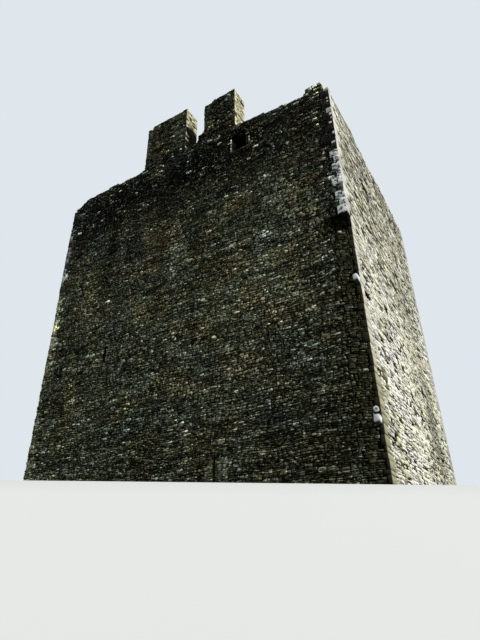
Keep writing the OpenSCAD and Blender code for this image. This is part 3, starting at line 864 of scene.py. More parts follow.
def mortar_material(name, color, inside, broken):
    """The mass behind the stones: dark in the joints, with painted shade that makes it darker more
    than 3 cm in from the outer faces, rubble in the rooms and on broken tops.
    """
    made = Surface(name)
    place = made.put("SeparateXYZ", {0: made.put("TexCoord")["Object"]})
    far_x, far_y = made.calc("ABSOLUTE", place[0]), made.calc("ABSOLUTE", place[1])

    def within(x, y):
        return made.product(made.calc("LESS_THAN", far_x, x), made.calc("LESS_THAN", far_y, y))

    def above(value, limit):
        return made.calc("GREATER_THAN", value, limit)

    def shaded(color, share):
        return (*(np.array(color) * share), 1)

    on_walk = made.product(within(WALK_X + 0.02, WALK_Y + 0.02), above(place[2], WALL_TOP))
    inner = made.calc("MAXIMUM", within(ROOM_X + 0.02, ROOM_Y + 0.02), on_walk)
    rubble = {"Vector": made.stretched((2.6, 2.6, 9.0)), "Scale": 1.0, "Randomness": 0.9}
    cells = made.put("TexVoronoi", rubble)
    edge = made.put("TexVoronoi", rubble, feature="DISTANCE_TO_EDGE")
    joint = made.fitted(edge["Distance"], 0.02, 0.09)
    tint = made.fitted(made.put("SeparateColor", {0: cells["Color"]})[0], 0.0, 1.0, 0.55, 1.3)
    stone, shard = (
        made.blended(joint, shaded(tone, share), made.tinted((*tone, 1), tint))
        for tone, share in ((inside, 0.3), (broken, 0.25)))
    # Painted shade: the mass goes darker more than 3 cm in from the outer faces, in openings and
    # pockets
    deep = within(FACE_X - 0.03, FACE_Y - 0.03)
    upward = made.put("SeparateXYZ", {0: made.put("NewGeometry")["Normal"]})[2]
    on_top = made.product(above(upward, 0.3), above(place[2], WALL_TOP + 0.005))
    outer = made.blended(on_top, made.blended(deep, (*color, 1), shaded(color, 0.2)), shard)
    fine = made.noise(22.0, (1, 1, 2.0), 6.0, 0.7)
    return made.finish(
        made.tinted(made.blended(inner, outer, stone), made.fitted(fine, 0.3, 0.7, 0.6, 1.4)),
        made.calc("ADD", made.product(joint, 2.0), fine), 0.95, 0.6, 0.02)


def dressed_material(name, stain, lichen):
    """Dressed stone: its own tone, tool marks, pits, grey crusts and some yellow lichen."""
    made = Surface(name)
    tone, grain, color = made.grained(0.72, 1.22, 34.0, (1, 1, 1), 6.0, 0.7)
    dirt = made.fitted(made.noise(9.0, (1, 1, 1.2), 5.0, 0.75), 0.49, 0.535, 1.0, stain)
    color = made.tinted(color, made.blended(tone["Alpha"], (1, 1, 1, 1), dirt))
    crust = made.product(
        made.fitted(made.noise(13.0, (1, 1, 1), 4.0, 0.7), 0.58, 0.64, 0.0, 0.6),
        made.fitted(tone["Fac"], 0.1, 0.3))
    tooling = made.noise(60.0, (1, 1, 0.25), 2.0)
    return made.finish(made.blended(crust, color, (*lichen, 1)),
                       made.calc("ADD", grain, tooling), 0.85, 0.4, 0.008, 0.1)


def paving_material(name):
    """Worn slate flags with moss in the joints."""
    made = Surface(name)
    tone, grain, color = made.grained(0.65, 1.3, 18.0, (1, 1, 1), 7.0, 0.7)
    growth = made.product(made.fitted(made.noise(3.0, (1, 1, 1), 6.0, 0.7), 0.5, 0.62),
                          made.fitted(tone["Alpha"], 0.3, 1.0, 0.25, 0.9))
    return made.finish(made.blended(growth, color, (0.07, 0.085, 0.03, 1)), grain,
                       0.88, 0.4, 0.01, 0.2)


def timber_material(name, along):
    """Aged oak: grain that runs along the piece, dark checks and a grey weathered bloom."""
    made = Surface(name)
    _, grain, color = made.grained(0.6, 1.35, 9.0, along, 6.0, 0.65)
    checks = made.fitted(made.noise(16.0, along, 3.0), 0.33, 0.42)
    bloom = made.fitted(made.noise(2.0), 0.45, 0.7, 0.0, 0.35)
    color = made.blended(checks, (0.02, 0.013, 0.008, 1), color)
    return made.finish(made.blended(bloom, color, (0.22, 0.20, 0.17, 1)),
                       made.calc("ADD", grain, checks), 0.8, 0.5, 0.006, 0.2)


DARK_BEDDING, DARK_LICHEN = (6.5, 4.6), (0.24, 0.245, 0.225)
shaded_rubble = rubble_material(
    "shaded_rubble", DARK_BEDDING, (5.0, 13.5, 9.0, 9.0), 6.0, 0.62, 3.0, DARK_LICHEN, 1.0,
    ((1.08, 1.00, 0.75, 1), (0.89, 1.03, 1.00, 1)), bands=(0.7, 8.0))
patch_rubble = rubble_material(
    "patch_rubble", DARK_BEDDING, (3.0, 8.0, 5.0, 1.0), 6.0, 0.62, 3.0, DARK_LICHEN, 0.5,
    ((1.03, 1.01, 0.83, 1), (0.94, 1.01, 0.99, 1)))
# On the sunlit faces the strong bedding swing makes dark dashes: partly the slates' bedding,
# partly painted shade in open bed joints
sunlit_rubble = rubble_material(
    "sunlit_rubble", (3.3, 4.8), (4.0, 9.0, 22.0, 4.5), 1.05, 0.88, 1.1, (0.15, 0.15, 0.14), 0.6,
    ((1.0, 1.0, 0.90, 1), (0.985, 1.0, 0.985, 1)), 1.2)
ROOM_TONE = (0.24, 0.23, 0.19)
dark_mortar = mortar_material("dark_mortar", (0.010, 0.010, 0.0075), ROOM_TONE,
                              (0.10, 0.10, 0.08))
pale_mortar = mortar_material("pale_mortar", (0.020, 0.018, 0.012), ROOM_TONE,
                              (0.34, 0.33, 0.27))
dressed_stone = dressed_material("dressed_stone", 0.06, (0.76, 0.77, 0.70))
clean_stone = dressed_material("clean_stone", 0.7, (0.62, 0.62, 0.52))
paving = paving_material("paving")
board_timber = timber_material("board_timber", (0.25, 4.0, 4.0))
beam_timber = timber_material("beam_timber", (4.0, 0.25, 4.0))


# The walls

BACK_WALLS = ("back_wall_left", "back_wall_right")
for mortar, nodes in ((dark_mortar, ("front_wall", "left_wall", *BACK_WALLS,
                                     "back_wall_over_door", "front_parapet", "back_parapet",
                                     "left_parapet", "corner_stub", "near_corner_patch")),
                      (pale_mortar, ("right_wall", "right_parapet"))):
    for node in nodes:
        mesh = frame["nodes"][node].data
        mesh.materials.clear()
        mesh.materials.append(mortar)

front = Face((-FACE_X, -FACE_Y), (1, 0), 2 * FACE_X)
right = Face((FACE_X, -FACE_Y), (0, 1), 2 * FACE_Y)
back = Face((FACE_X, FACE_Y), (-1, 0), 2 * FACE_X)
left = Face((-FACE_X, FACE_Y), (0, -1), 2 * FACE_Y)

# Rubble keeps off the nodes and openings that show on each face
OPENINGS = {row["name"]: row["box_m"] for row in frame["record"]["physics"]["openings"]}
for face, nodes, openings in (
        (front, ("upper_window_lintel", "upper_window_sill", "upper_window_jamb"),
         ("upper_window", "front_loop", "base_loop")),
        (back, ("back_window_lintel", "back_window_sill", "door_arch", "door_jambs"),
         ("back_window", "back_loop")),
        (left, (), ("left_upper_loop", "left_base_loop"))):
    for name in nodes:
        face.hole(*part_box(name))
    for name in openings:
        face.hole(*OPENINGS[name], 0.012)

# A small pocket to the right of the window, its stones lost, and the slab on edge beside it
POCKET = ((2.98, -FACE_Y, 12.96), (3.14, -FACE_Y, 13.2))
UPRIGHT = ((2.875, -FACE_Y, 12.87), (2.925, -FACE_Y + 0.2, 13.16))
front.hole(*POCKET, 0.0)
front.hole(*UPRIGHT)

# Lost stones of the right face: middle from the near corner, level and length
LOST_STONES = ((0.67, 5.705, 0.26), (4.69, 8.27, 0.72), (2.94, 11.40, 0.58))
for middle, level, length in LOST_STONES:
    right.holes.append((middle - length / 2 - 0.12, middle + length / 2 + 0.18,
                        level - 0.11, level + 0.09))

# The patch at the near corner, with a ragged left edge
patch_low, patch_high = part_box("near_corner_patch")
PATCH_W, PATCH_TOP, PATCH_BACK = FACE_X - patch_low.x, patch_high.z, 0.26
edge_rng = np.random.default_rng(37)
patch_edges = [(low, low + tall, edge_rng.uniform(0, 0.14))
               for low, tall in cuts(edge_rng, 0.0, PATCH_TOP, (0.06, 0.2), slack=0.0)]
front.holes += [(2 * FACE_X - PATCH_W + shift, 2 * FACE_X + 1, low, high)
                for low, high, shift in patch_edges]
right.holes.append((-1.0, PATCH_BACK, -1.0, PATCH_TOP + 0.01))


# Dressed corner stones

QUOIN_COURSE, QUOIN_CORE, QUOIN_JOINT = 0.285, 0.02, 0.002
QUOIN_X, QUOIN_Y, QUOIN_MASS = (0.17, 0.30), (0.23, 0.45), (0.29, 0.44)
DIRTY_FROM = 10.5


def near_quoin_color(rng, z):
    """Pale on both sides low down; dirty on the front above, where the wall has stains too."""
    pale = np.array([0.87, 0.93, 0.93]) * rng.choice([0.15, 0.9, 1.0, 1.0])
    sunny = np.array([0.62, 0.61, 0.55]) * rng.uniform(0.75, 1.25)
    if z > DIRTY_FROM:
        pale = np.array([0.016, 0.017, 0.013]) * rng.choice([0.4, 0.7, 1.0, 1.4])
    return pale, sunny


def left_quoin_color(rng, z):
    pale = np.array([0.62, 0.64, 0.59]) * rng.choice([0.08, 0.5, 1.0, 1.15])
    return pale, pale * 0.8


def back_quoin_color(rng, z):
    pale = np.array([0.46, 0.46, 0.41]) * rng.uniform(0.7, 1.15)
    return pale, pale


def build_quoins(name, faces, side, end, color):
    """Dressed stones, long and short by turns. Side and end say which corner."""
    low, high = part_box(name)
    rng = np.random.default_rng(sum(map(ord, name)))
    builder = Masonry()
    x0, x1 = sorted((side * (FACE_X - QUOIN_CORE), side * (FACE_X - QUOIN_MASS[0])))
    y0, y1 = sorted((end * (FACE_Y - QUOIN_CORE), end * (FACE_Y - QUOIN_MASS[1])))
    plain_box(builder, (x0, y0, low.z + 0.004), (x1, y1, high.z - 0.03), (0.05, 0.05, 0.04))
    corner = Corner(rng, builder, faces, (side * FACE_X, end * FACE_Y), ((-side, 0), (0, -end)))
    count = round((high.z - low.z) / QUOIN_COURSE)
    step = (high.z - low.z) / count
    for i in range(count):
        z = low.z + i * step
        reaches = (QUOIN_X[1 - i % 2], QUOIN_Y[i % 2])
        tones = color(rng, z)
        corner.stone(z + QUOIN_JOINT, z + step - QUOIN_JOINT,
                     (reaches[0] - rng.uniform(0, 0.08), reaches[1] - rng.uniform(0, 0.012)),
                     cad_high.x - FACE_X - rng.uniform(0.002, 0.010), tones, 0.007, 0.002)
        corner.clear(z, z + step, reaches)
    if name == "near_corner_quoins":  # the dark underside over the patch, and the lichen
        # The underside over the patch is painted near black as its shade
        plain_box(builder, (FACE_X - QUOIN_MASS[0], -FACE_Y - QUOIN_CORE, low.z - 0.006),
                  (FACE_X + QUOIN_CORE, -FACE_Y + QUOIN_MASS[1], low.z + 0.001),
                  (0.012, 0.012, 0.01))
        for x, z, wide, tall in WHITE_CHIPS:
            lay_blocks(rng, builder, (x, cad_low.y + 0.015, z), (wide / 2, 0.015, tall / 2),
                       0.012, 0.004, [(0.64, 0.64, 0.62)])
    builder.build(name + "_stones", dressed_stone, "dressed_stone", name)


build_quoins("near_corner_quoins", (front, right), 1, -1, near_quoin_color)
build_quoins("left_corner_quoins", (front, left), -1, -1, left_quoin_color)
build_quoins("back_right_quoins", (back, right), 1, 1, back_quoin_color)
build_quoins("back_left_quoins", (back, left), -1, 1, back_quoin_color)


# Rubble corners

corner_rng = np.random.default_rng(41)
corners = Masonry()
quoin_low, quoin_high = (box.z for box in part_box("left_corner_quoins"))
for low, high in ((0.004, quoin_low), (quoin_high, WALL_TOP + 0.02)):
    corner_stack(corner_rng, corners, (front, left), (-FACE_X, -FACE_Y), ((1, 0), (0, 1)),
                 low, high, 0.42, (front_colors, hidden_colors))
corners.build("left_corner_rubble", shaded_rubble, "shaded_rubble")

patch_start = np.array([FACE_X - PATCH_W, -FACE_Y])
patch_end = np.array([FACE_X, -FACE_Y + PATCH_BACK])
patch_width = float(np.linalg.norm(patch_end - patch_start))
patch_way = (patch_end - patch_start) / patch_width
patch = Face(patch_start, patch_way, patch_width)
patch_rng = np.random.default_rng(43)
arris_stones, patch_stones = Masonry(), Masonry()
# The arris stones' side on the patch is darker still, as painted shade
corner_stack(patch_rng, arris_stones, (patch, right), patch_end, (-patch_way, (0, 1)), 0.004,
             PATCH_TOP - 0.01, 0.16,
             (lambda rng, x, z: patch_colors(rng, x, z) * 0.45, patch_arris_colors),
             (0.10, 0.30), 0.014, (0.22, 0.46))
arris_stones.build("near_corner_arris_stones", clean_stone, "dressed_stone")
patch.holes += [(-1.0, shift * 1.1, low, high) for low, high, shift in patch_edges]
found = rubble_on(patch_rng, patch, PATCH_TOP, ([0, 9], [PATCH_TOP] * 2), 0.85, (0.002, 0.008))
colors = patch_colors(patch_rng, found[:, 0], found[:, 1])
for spot in PATCH_ACCENTS:
    colors[nearest(found, *spot)] = WHITE * 0.55
add_slates(patch_rng, patch_stones, patch, found, colors, tilt=0.5, most_out=0.025)
patch_stones.build("near_corner_patch_stones", patch_rubble, "shaded_rubble")


def build_corner_blocks():
    """The two dressed stones left in the patch, with the round lichen over the lower one."""
    rng = np.random.default_rng(47)
    builder = Masonry()
    box_low, box_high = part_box("near_corner_blocks")
    levels = sorted({round(v.co.z, 3) for v in frame["nodes"]["near_corner_blocks"].data.vertices})
    for z0, z1 in (levels[:2], levels[2:4]):
        low = np.array((box_low.x + 0.03, box_low.y + 0.05, z0 + 0.02))
        high = np.array((box_high.x - 0.02, box_high.y, z1 - 0.02))
        # Their undersides are painted dark as shade
        lay_blocks(rng, builder, (low + high) / 2, (high - low) / 2, 0.07, 0.006,
                   [(0.68, 0.74, 0.74)], (*box_low[:2], z0), (*box_high[:2], z1),
                   painted_shade_side=(2, 0))
    u, v, radius, sides = 0.51, 2.32, 0.072, 12
    angles = np.arange(sides) * 2 * math.pi / sides
    rings = ((1.0, 0.0, 0.6), (1.0, 0.006, 1.0), (0.5, 0.008, 0.75), (0.28, 0.008, 0.2))
    points, tones = [], []
    for reach, depth, tone in rings:
        r = radius * reach * (1 + rng.normal(0, 0.04, sides))
        points.append(patch.place(u + r * np.cos(angles), v + r * np.sin(angles),
                                  np.full(sides, 0.030 + depth)))
        tones += [[0.66 * tone, 0.70 * tone, 0.70 * tone, 1.0]] * sides
    points.append(patch.place(*(np.array([value]) for value in (u, v, 0.038))))
    last = sides * (len(rings) - 1)
    builder.add(np.concatenate(points), tones + [[0.1, 0.11, 0.1, 1.0]],
                shell_quads(len(rings), sides), fan(last, sides, last + sides))
    builder.build("corner_block_stones", clean_stone, "dressed_stone", "near_corner_blocks")


build_corner_blocks()


# Merlons

CHEEK_IN, CAP_ROOM = 0.02, 0.06
WIDE_WORN, NARROW_WORN = (0.2, 0.10), (0.32, 0.09)
MERLON_COURSE = (0.06, 0.15)
RAMP_W, RAMP_RISE = 0.36, 0.64


def build_merlon(name, seed, ramp, cheek, arris, worn):
    """A merlon: core, corner stones, three faces and cap stones. Worn: width and drop at left."""
    low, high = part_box(name)
    rng = np.random.default_rng(seed)
    builder, pale = Masonry(), Masonry()
    x_left, x_right = low.x + ramp + CHEEK_IN, high.x - CHEEK_IN
    x_worn = x_left + worn[0]
    core_top = high.z - CAP_ROOM
    left_top, stack_top = core_top - worn[1], core_top + 0.02
    for x0, x1, head in ((x_left, x_worn, left_top), (x_worn, x_right, core_top)):
        plain_box(builder, (x0, low.y, low.z - 0.02), (x1, high.y, head), (0.03, 0.03, 0.024))
    right_cheek = Face((x_right, low.y), (0, 1), high.y - low.y, low.z)
    left_cheek = Face((x_left, high.y), (0, -1), high.y - low.y, low.z)
    inner = Face((x_right, high.y), (-1, 0), x_right - x_left, low.z)
    for target, faces, x, y, ways, head, reach, tones in (
            (pale, (front, right_cheek), x_right, low.y, ((-1, 0), (0, 1)), stack_top, 0.20,
             (front_colors, arris)),
            (pale, (right_cheek, inner), x_right, high.y, ((0, -1), (-1, 0)), stack_top, 0.30,
             (cheek, hidden_colors)),
            (builder, (front, left_cheek), x_left, low.y, ((1, 0), (0, 1)), left_top, 0.30,
             (front_colors, front_colors)),
            (builder, (left_cheek, inner), x_left, high.y, ((0, -1), (1, 0)), left_top, 0.30,
             (front_colors, hidden_colors))):
        corner_stack(rng, target, faces, (x, y), ways, low.z, head, reach, tones,
                     MERLON_COURSE)
    for face, target, tones, head in ((right_cheek, pale, cheek, core_top),
                                      (left_cheek, builder, front_colors, left_top),
                                      (inner, builder, hidden_colors, core_top)):
        found = rubble_on(rng, face, high.z, ([0, 9], [head] * 2))
        add_slates(rng, target, face, found, tones(rng, found[:, 0], found[:, 1]))
    cap_stones(rng, builder, (x_left, low.y), (1, 0), x_right - x_left, high.y - low.y,
               lambda x, y: core_top if x > x_worn else left_top, crusted, (0.03, CAP_ROOM),
               high.z)
    return builder, pale, x_left, x_right, core_top


wide, wide_pale, wide_left, wide_right, wide_top = build_merlon(
    "merlon_wide", 51, 0.0, painted_shadow_side, painted_shadow_arris, WIDE_WORN)
narrow, narrow_pale, narrow_left, narrow_right, narrow_top = build_merlon(
    "merlon_narrow", 53, RAMP_W, pale_side, pale_side, NARROW_WORN)


def build_ramp():
    """The rubble that leans on the narrow merlon's left foot."""
    rng = np.random.default_rng(57)
    low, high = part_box("merlon_narrow")
    middles, halves, turns = [], [], []
    for level in np.arange(0.05, RAMP_RISE, 0.1):
        reach = RAMP_W * (1 - level / RAMP_RISE) + 0.08
        for y in np.arange(low.y + 0.1, high.y, 0.2):
            long_ = reach * rng.uniform(0.85, 1.05)
            middles.append((low.x + RAMP_W - long_ / 2 + 0.03, y + 0.02, low.z + level))
            halves.append((long_ / 2, rng.uniform(0.09, 0.115), rng.uniform(0.045, 0.06)))
            turns.append((rng.normal(0, 0.08), 0.0))

    def ramp_colors(rng, x, z):
        colors = front_colors(rng, x, z) * 1.8
        colors[(z > low.z + 0.3) & (np.array(middles)[:, 1] < low.y + 0.3)] = (0.50, 0.50, 0.30)
        return colors

    lay_blocks(rng, narrow, middles, halves, 0.02, 0.008, ramp_colors,
               (-FAR, low.y - 0.03, -FAR), (FAR, high.y + 0.03, FAR), turns)


build_ramp()


# The skins of the four faces

# Crusted stones beside the dirty quoins, high accents made lighter, and the merlons' foot
BESIDE_QUOINS, CRUST_FROM = 5.66, 8.1
HIGH_ACCENT, HIGH_LIFT = 11.5, 1.35
MERLON_FOOT = 0.51
STUB_GAP = (5.12, 5.18)
OUTER = ["front_parapet", "corner_stub", "right_parapet", "back_parapet", "left_parapet",
         "near_corner_quoins", "front_wall", "right_wall", "left_wall", *BACK_WALLS]


def build_skin(rng, label, face, found, colors, levels, material, slot, nodes, runs, cap_colors,
               lift=(0.0, 0.04), **stones):
    """A face's stones, in a piece for each storey and one for the parapet and its cap stones."""
    pieces = [(f"{label}_wall_stones_{part}", level) for part, level in levels.items()]
    low = -FAR
    for name, high in [*pieces, (f"{label}_parapet_stones", FAR)]:
        builder = Masonry()
        chosen = (found[:, 1] > low) & (found[:, 1] <= high)
        add_slates(rng, builder, face, found[chosen], colors[chosen], **stones)
        for start, length in runs if high == FAR else ():
            cap_stones(rng, builder, start, face.along[:2], length, PARAPET_T,
                       lambda x, y: top_of(nodes, x, y), cap_colors, lift)
        builder.build(name, material, slot)
        low = high


front_us, front_top = crest(front, OUTER + ["merlon_wide", "merlon_narrow"])
spots = front_us - FACE_X
for x0, x1, head, (worn_width, drop) in ((narrow_left, narrow_right, narrow_top, NARROW_WORN),
                                         (wide_left, wide_right, wide_top, WIDE_WORN)):
    on_merlon = (spots > x0) & (spots < x1)
    front_top[on_merlon] = head
    front_top[on_merlon & (spots < x0 + worn_width)] -= drop
keep_steps(front, front_us, front_top)
front_rng = np.random.default_rng(61)
found = rubble_on(front_rng, front, cad_high.z, (front_us, front_top), lengths=(0.06, 0.25))
x, z = found[:, 0] - FACE_X, found[:, 1]
colors = front_colors(front_rng, x, z)
by_quoins = (x > BESIDE_QUOINS) & (z > CRUST_FROM) & (z < DIRTY_FROM)
by_quoins &= chance(front_rng, len(x), 0.35)
colors[by_quoins] = pick_colors(front_rng, CRUSTED_SLATES, by_quoins.sum(), 0.2)
for px, pz, tone in ACCENTS:
    lift = HIGH_LIFT if pz > HIGH_ACCENT else 1.0
    colors[nearest(found, px + FACE_X, pz)] = tone * front_rng.uniform(0.8, 1.2) * lift

above_foot = z > WALL_TOP + MERLON_FOOT
on_wide = above_foot & (x > wide_left - 0.02) & (x < wide_right + 0.02)
on_narrow = above_foot & ~on_wide & (x > narrow_left - RAMP_W) & (x < narrow_right + 0.05)
for builder, chosen, dim in ((wide, on_wide, 0.54), (narrow, on_narrow, 0.38)):
    light = colors[chosen].mean(1, keepdims=True)
    colors[chosen] *= (np.minimum(light / np.median(light), 2.2) ** 0.8
                       * dim * np.array([1.0, 0.99, 0.81]))
    add_slates(front_rng, builder, front, found[chosen], colors[chosen])

rest = ~(on_wide | on_narrow)
runs = ((0.05 - FACE_X, wide_left), (wide_right, narrow_left - RAMP_W),
        (narrow_right, STUB_GAP[0]), (STUB_GAP[1], FACE_X - 0.2))
build_skin(front_rng, "front", front, found[rest], colors[rest], FRONT_LEVELS, shaded_rubble,
           "shaded_rubble", ["front_parapet", "corner_stub"],
           [((x0, -FACE_Y), x1 - x0) for x0, x1 in runs], crusted, (-0.02, 0.12))
wide.build("merlon_wide_stones", shaded_rubble, "shaded_rubble", "merlon_wide")
narrow.build("merlon_narrow_stones", shaded_rubble, "shaded_rubble", "merlon_narrow")
wide_pale.build("merlon_wide_bright_side", sunlit_rubble, "sunlit_rubble")
narrow_pale.build("merlon_narrow_bright_side", sunlit_rubble, "sunlit_rubble")

# The slope of the corner stub's sunlit side: levels, and how far back from the face.
# Two loose stones lie on it: place, level above the wall head and size
STUB_LEVELS, STUB_BACK = (0.04, 0.35, 0.51), (0.14, 0.19, 0.23)
STUB_LOOSE = ((5.94, -4.58, 0.02, 0.10, 0.22, 0.07), (5.86, -4.5, 0.03, 0.08, 0.3, 0.08))


def build_stub_side():
    """The sunlit side of the corner stub: small stones that step back with its slope."""
    rng = np.random.default_rng(59)
    builder = Masonry()
    middles, halves = [], []
    for level, tall in cuts(rng, 0.02, STUB_LEVELS[-1], (0.06, 0.11), slack=0.04):
        edge = FACE_X - np.interp(level + tall, STUB_LEVELS, STUB_BACK)
        for y, long_ in cuts(rng, 0.005 - FACE_Y, -WALK_Y, (0.14, 0.3), slack=0.06):
            middles.append((edge - 0.02, y + long_ / 2, WALL_TOP + level + tall / 2))
            halves.append((0.05 + rng.uniform(0, 0.012), long_ / 2 - 0.004, tall / 2 - 0.004))
    lay_blocks(rng, builder, middles, halves, 0.016, 0.005,
               lambda rng, x, z: pale_side(rng, x, z) * 1.15)
    for x, y, level, *size in STUB_LOOSE:
        lay_blocks(rng, builder, (x, y, WALL_TOP + level), np.array(size) / 2, 0.016, 0.004,
                   [(0.8, 0.79, 0.72)])
    builder.build("corner_stub_bright_side", sunlit_rubble, "sunlit_rubble")


build_stub_side()

right_rng = np.random.default_rng(67)
found = rubble_on(right_rng, right, WALL_TOP + 0.6, crest(right, OUTER), 1.3, (0.002, 0.050), 3.0,
                  0.055)
build_skin(right_rng, "right", right, found,
           right_colors(right_rng, found[:, 0] - FACE_Y, found[:, 1]), SIDE_LEVELS,
           sunlit_rubble, "sunlit_rubble", ["right_parapet"], [((FACE_X, -WALK_Y), 2 * WALK_Y)],
           lambda rng, x, z: right_colors(rng, x * 0, z), side_tone=0.3, tilt=0.45)

for face, label, seed, run in ((back, "back", 71, ((FACE_X, FACE_Y), 2 * FACE_X)),
                               (left, "left", 73, ((-FACE_X, WALK_Y), 2 * WALK_Y))):
    rng = np.random.default_rng(seed)
    found = rubble_on(rng, face, WALL_TOP + 0.8, crest(face, OUTER), 1.6)
    build_skin(rng, label, face, found, hidden_colors(rng, found[:, 0], found[:, 1]),
               SIDE_LEVELS, shaded_rubble, "shaded_rubble", [label + "_parapet"], [run],
               hidden_colors)


# Slabs at the window and loop, and the doorway

BACK_SLAB = (0.30, 0.30, 0.26)
slab_rng = np.random.default_rng(79)
# The front window's lintel is near black and its sill dark: painted shade in the opening
for name, color, material in (("upper_window_lintel", (0.007, 0.007, 0.005), shaded_rubble),
                              ("upper_window_sill", (0.02, 0.02, 0.016), shaded_rubble),
                              ("back_window_lintel", BACK_SLAB, dressed_stone),
                              ("back_window_sill", BACK_SLAB, dressed_stone)):
    slab = Masonry()
    low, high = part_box(name)
    proud = np.array([0, 0.02 * np.sign(low.y), 0])
    single_block(slab_rng, slab, low + Vector(np.minimum(proud, 0)),
                 high + Vector(np.maximum(proud, 0)), color)
    slab.build(name + "_slab", material, "dressed_stone", name)

# The jamb left of the window, its stones from the lowest up: share of the height, how much
# narrower, and tone. The last stone of the piece stands on edge beyond the window
JAMB_SLABS = ((0.27, 0.0, 0.42), (0.28, 0.015, 0.16), (0.25, 0.0, 0.5), (0.2, 0.02, 0.02))
jamb = Masonry()
low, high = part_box("upper_window_jamb")
level = low.z
for share, narrower, tone in JAMB_SLABS:
    tall = share * (high.z - low.z)
    # The side of each stone that faces the opening is painted dark as shade
    single_block(slab_rng, jamb, (low.x + narrower, low.y - 0.02, level + 0.004),
                 (high.x, high.y, level + tall - 0.004), np.array([0.97, 1.0, 0.90]) * tone,
                 painted_shade_side=(0, 3))
    level += tall
single_block(slab_rng, jamb, np.array(UPRIGHT[0]) - (0, 0.025, 0), UPRIGHT[1],
             (0.30, 0.30, 0.22))
jamb.build("upper_window_jamb_stones", shaded_rubble, "dressed_stone", "upper_window_jamb")

LOOP_X, LOOP_HALF = 1.545, 0.04
slabs = Masonry()
low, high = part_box("base_loop_slabs")
for x0, x1 in ((low.x, LOOP_X - LOOP_HALF), (LOOP_X + LOOP_HALF, high.x)):
    single_block(slab_rng, slabs, (x0, low.y - 0.015, low.z), (x1, high.y, high.z),
                 (0.058, 0.062, 0.048))
slabs.build("base_loop_edge_slabs", shaded_rubble, "shaded_rubble", "base_loop_slabs")

DOOR_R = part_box("door_threshold")[1].x
DOOR_TONE, DOOR_SPREAD = np.array([0.42, 0.42, 0.36]), 0.14
ARCH_STONES = 11
JAMB_STONES = (0.34, 0.27, 0.31, 0.25, 0.33, 0.25)


def build_door():
    """The arch of wedge stones, the stones of the jambs, and the worn threshold."""
    rng = np.random.default_rng(83)
    low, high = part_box("door_arch")
    mean_r, half_t = (high.x + DOOR_R) / 2, (high.x - DOOR_R) / 2
    half_a = math.pi * mean_r / ARCH_STONES / 2 - 0.004
    p = block_points(rng, [(half_a, half_t, (high.y - low.y) / 2)] * ARCH_STONES, 0.014, 0.004)
    angle = (np.arange(ARCH_STONES)[:, None] + 0.5) * math.pi / ARCH_STONES + p[..., 0] / mean_r
    radius = np.clip(mean_r + p[..., 1], DOOR_R, high.x)
    points = np.stack([radius * np.cos(angle),
                       np.clip((high.y + low.y) / 2 + p[..., 2], low.y, high.y),
                       low.z + np.maximum(radius * np.sin(angle), 0)], 2)
    arch, jambs, sill = Masonry(), Masonry(), Masonry()
    add_blocks(arch, points, varied(rng, DOOR_TONE, ARCH_STONES, DOOR_SPREAD))
    arch.build("door_arch_stones", dressed_stone, "dressed_stone", "door_arch")
    low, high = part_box("door_jambs")
    for x0, x1 in ((low.x, -DOOR_R), (DOOR_R, high.x)):
        z = 0.0
        for tall in JAMB_STONES:
            single_block(rng, jambs, (x0, low.y, z + 0.003), (x1, high.y, z + tall - 0.003),
                         varied(rng, DOOR_TONE, 1, DOOR_SPREAD)[0], 0.014, 0.004)
            z += tall
    jambs.build("door_jamb_stones", dressed_stone, "dressed_stone", "door_jambs")
    low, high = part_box("door_threshold")
    single_block(rng, sill, low, high, DOOR_TONE * 0.8, 0.02)
    step = sill.points[0]
    step[(np.abs(step[:, 0]) < 0.4) & (step[:, 2] > high.z - 0.02), 2] -= 0.012
    sill.build("door_step", dressed_stone, "dressed_stone", "door_threshold")


build_door()


# Paving, floors and beams

floor_rng = np.random.default_rng(89)
for name, along in (("front_wall_walk", 0), ("back_wall_walk", 0), ("right_wall_walk", 1),
                    ("left_wall_walk", 1), ("roof_deck", 0)):
    paved = Masonry()
    flags(floor_rng, paved, *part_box(name), along=along)
    paved.build(name + "_flags", paving, "paving", name)
paved = Masonry()
low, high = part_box("ground_floor")
flags(floor_rng, paved, low, (high.x, ROOM_Y, high.z))
flags(floor_rng, paved, (-DOOR_R, ROOM_Y, low.z), (DOOR_R, high.y, high.z), (0.5, 0.6),
      (0.4, 0.6))
paved.build("ground_floor_flags", paving, "paving", "ground_floor")

BEAM_W, BEAMS = 0.24, 6
for name in ("first_floor", "second_floor", "roof"):
    timbers, planks = Masonry(), Masonry()
    low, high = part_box(name + "_beams")
    for middle in np.linspace(low.x + BEAM_W / 2, high.x - BEAM_W / 2, BEAMS):
        hewn_beam(floor_rng, timbers, Vector((middle - BEAM_W / 2, low.y, low.z)),
                  Vector((middle + BEAM_W / 2, high.y, high.z)))
    timbers.build(name + "_hewn_beams", beam_timber, "timber", name + "_beams")
    if name != "roof":
        boards(floor_rng, planks, *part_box(name + "_boards"))
        planks.build(name + "_planks", board_timber, "timber", name + "_boards")


# The stage, the light and the camera

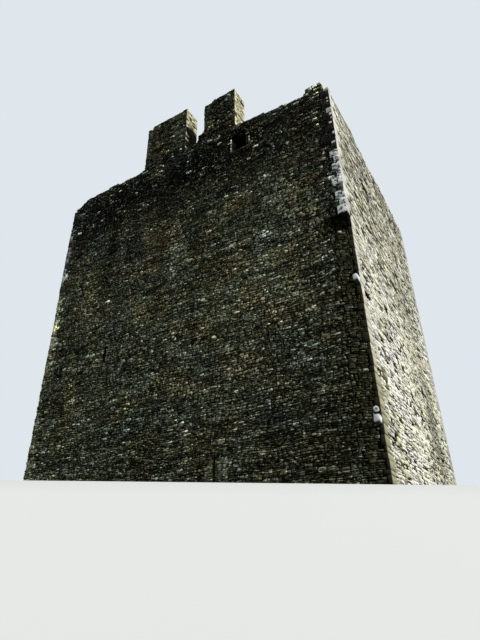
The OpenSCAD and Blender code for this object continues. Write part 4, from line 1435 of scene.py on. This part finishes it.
def ground():
    """Level ground round the keep, with an edge past which it falls towards the camera."""
    heading = math.radians(CAMERA_HEADING)
    ahead = np.array([-math.sin(heading), math.cos(heading)])
    side = np.array([math.cos(heading), math.sin(heading)])
    rows = [(GROUND_REACH * 2, 0.0), (CREST_DISTANCE + 0.6, 0.0)]
    rows += [(CREST_DISTANCE * (1 - f), -GROUND_FALL * (1 - (1 - f) ** 2))
             for f in np.linspace(0, 1, 24)]
    rows.append((-GROUND_REACH, -GROUND_FALL))
    points = [(*(CAMERA_PLACE[:2] + ahead * (distance + CREST_SLANT * across) + side * across),
               level) for distance, level in rows for across in (-GROUND_REACH, GROUND_REACH)]
    made = Surface("ground")
    path = made.put("LightPath")["Is Camera Ray"]
    pale = made.blended(path, (0.22, 0.23, 0.21, 1), (0.60, 0.62, 0.62, 1))
    made.tree.links.new(pale, made.shader["Base Color"])
    made.shader["Roughness"].default_value = 1.0
    mesh = bpy.data.meshes.new("ground")
    mesh.from_pydata(points, [], shell_quads(len(rows), 2, False)[:, ::-1].tolist())
    mesh.polygons.foreach_set("use_smooth", [True] * len(mesh.polygons))
    mesh.materials.append(made.material)
    floor = bpy.data.objects.new("ground", mesh)
    bpy.context.scene.collection.objects.link(floor)


def sky():
    """Even light from all round for the object, and a pale backdrop for the camera."""
    world = bpy.data.worlds.new("sky")
    bpy.context.scene.world = world
    world.use_nodes = True
    world.node_tree.nodes.clear()
    nodes = Nodes(world.node_tree)
    light, shown = (nodes.put("Background", {"Color": (*color, 1), "Strength": strength})[0]
                    for color, strength in (((0.95, 0.98, 1.0), SKY_STRENGTH), (BACKDROP, 1.0)))
    path = nodes.put("LightPath")["Is Camera Ray"]
    nodes.put("OutputWorld", {"Surface": nodes.put("MixShader", {0: path, 1: light, 2: shown})[0]})


def sun():
    lamp = bpy.data.lights.new("sun", "SUN")
    lamp.energy, lamp.color, lamp.angle = SUN_STRENGTH, (1.0, 0.97, 0.91), math.radians(SUN_SPREAD)
    azimuth, elevation = math.radians(SUN_AZIMUTH), math.radians(SUN_ELEVATION)
    toward = Vector((math.cos(azimuth) * math.cos(elevation),
                     math.sin(azimuth) * math.cos(elevation), math.sin(elevation)))
    piece = bpy.data.objects.new("sun", lamp)
    piece.rotation_euler = toward.to_track_quat("Z", "Y").to_euler()
    bpy.context.scene.collection.objects.link(piece)


def camera():
    lens = bpy.data.cameras.new("camera")
    lens.lens, lens.sensor_width, lens.clip_end = CAMERA_LENS_MM, 36.0, 500.0
    turn = (Matrix.Rotation(math.radians(CAMERA_HEADING), 4, "Z")
            @ Matrix.Rotation(math.radians(90 + CAMERA_PITCH), 4, "X")
            @ Matrix.Rotation(math.radians(-CAMERA_ROLL), 4, "Z"))
    piece = bpy.data.objects.new("camera", lens)
    piece.matrix_world = Matrix.Translation(CAMERA_PLACE) @ turn
    bpy.context.scene.collection.objects.link(piece)
    bpy.context.scene.camera = piece


ground()
sky()
sun()
camera()
bpy.context.scene.view_settings.view_transform = "Standard"
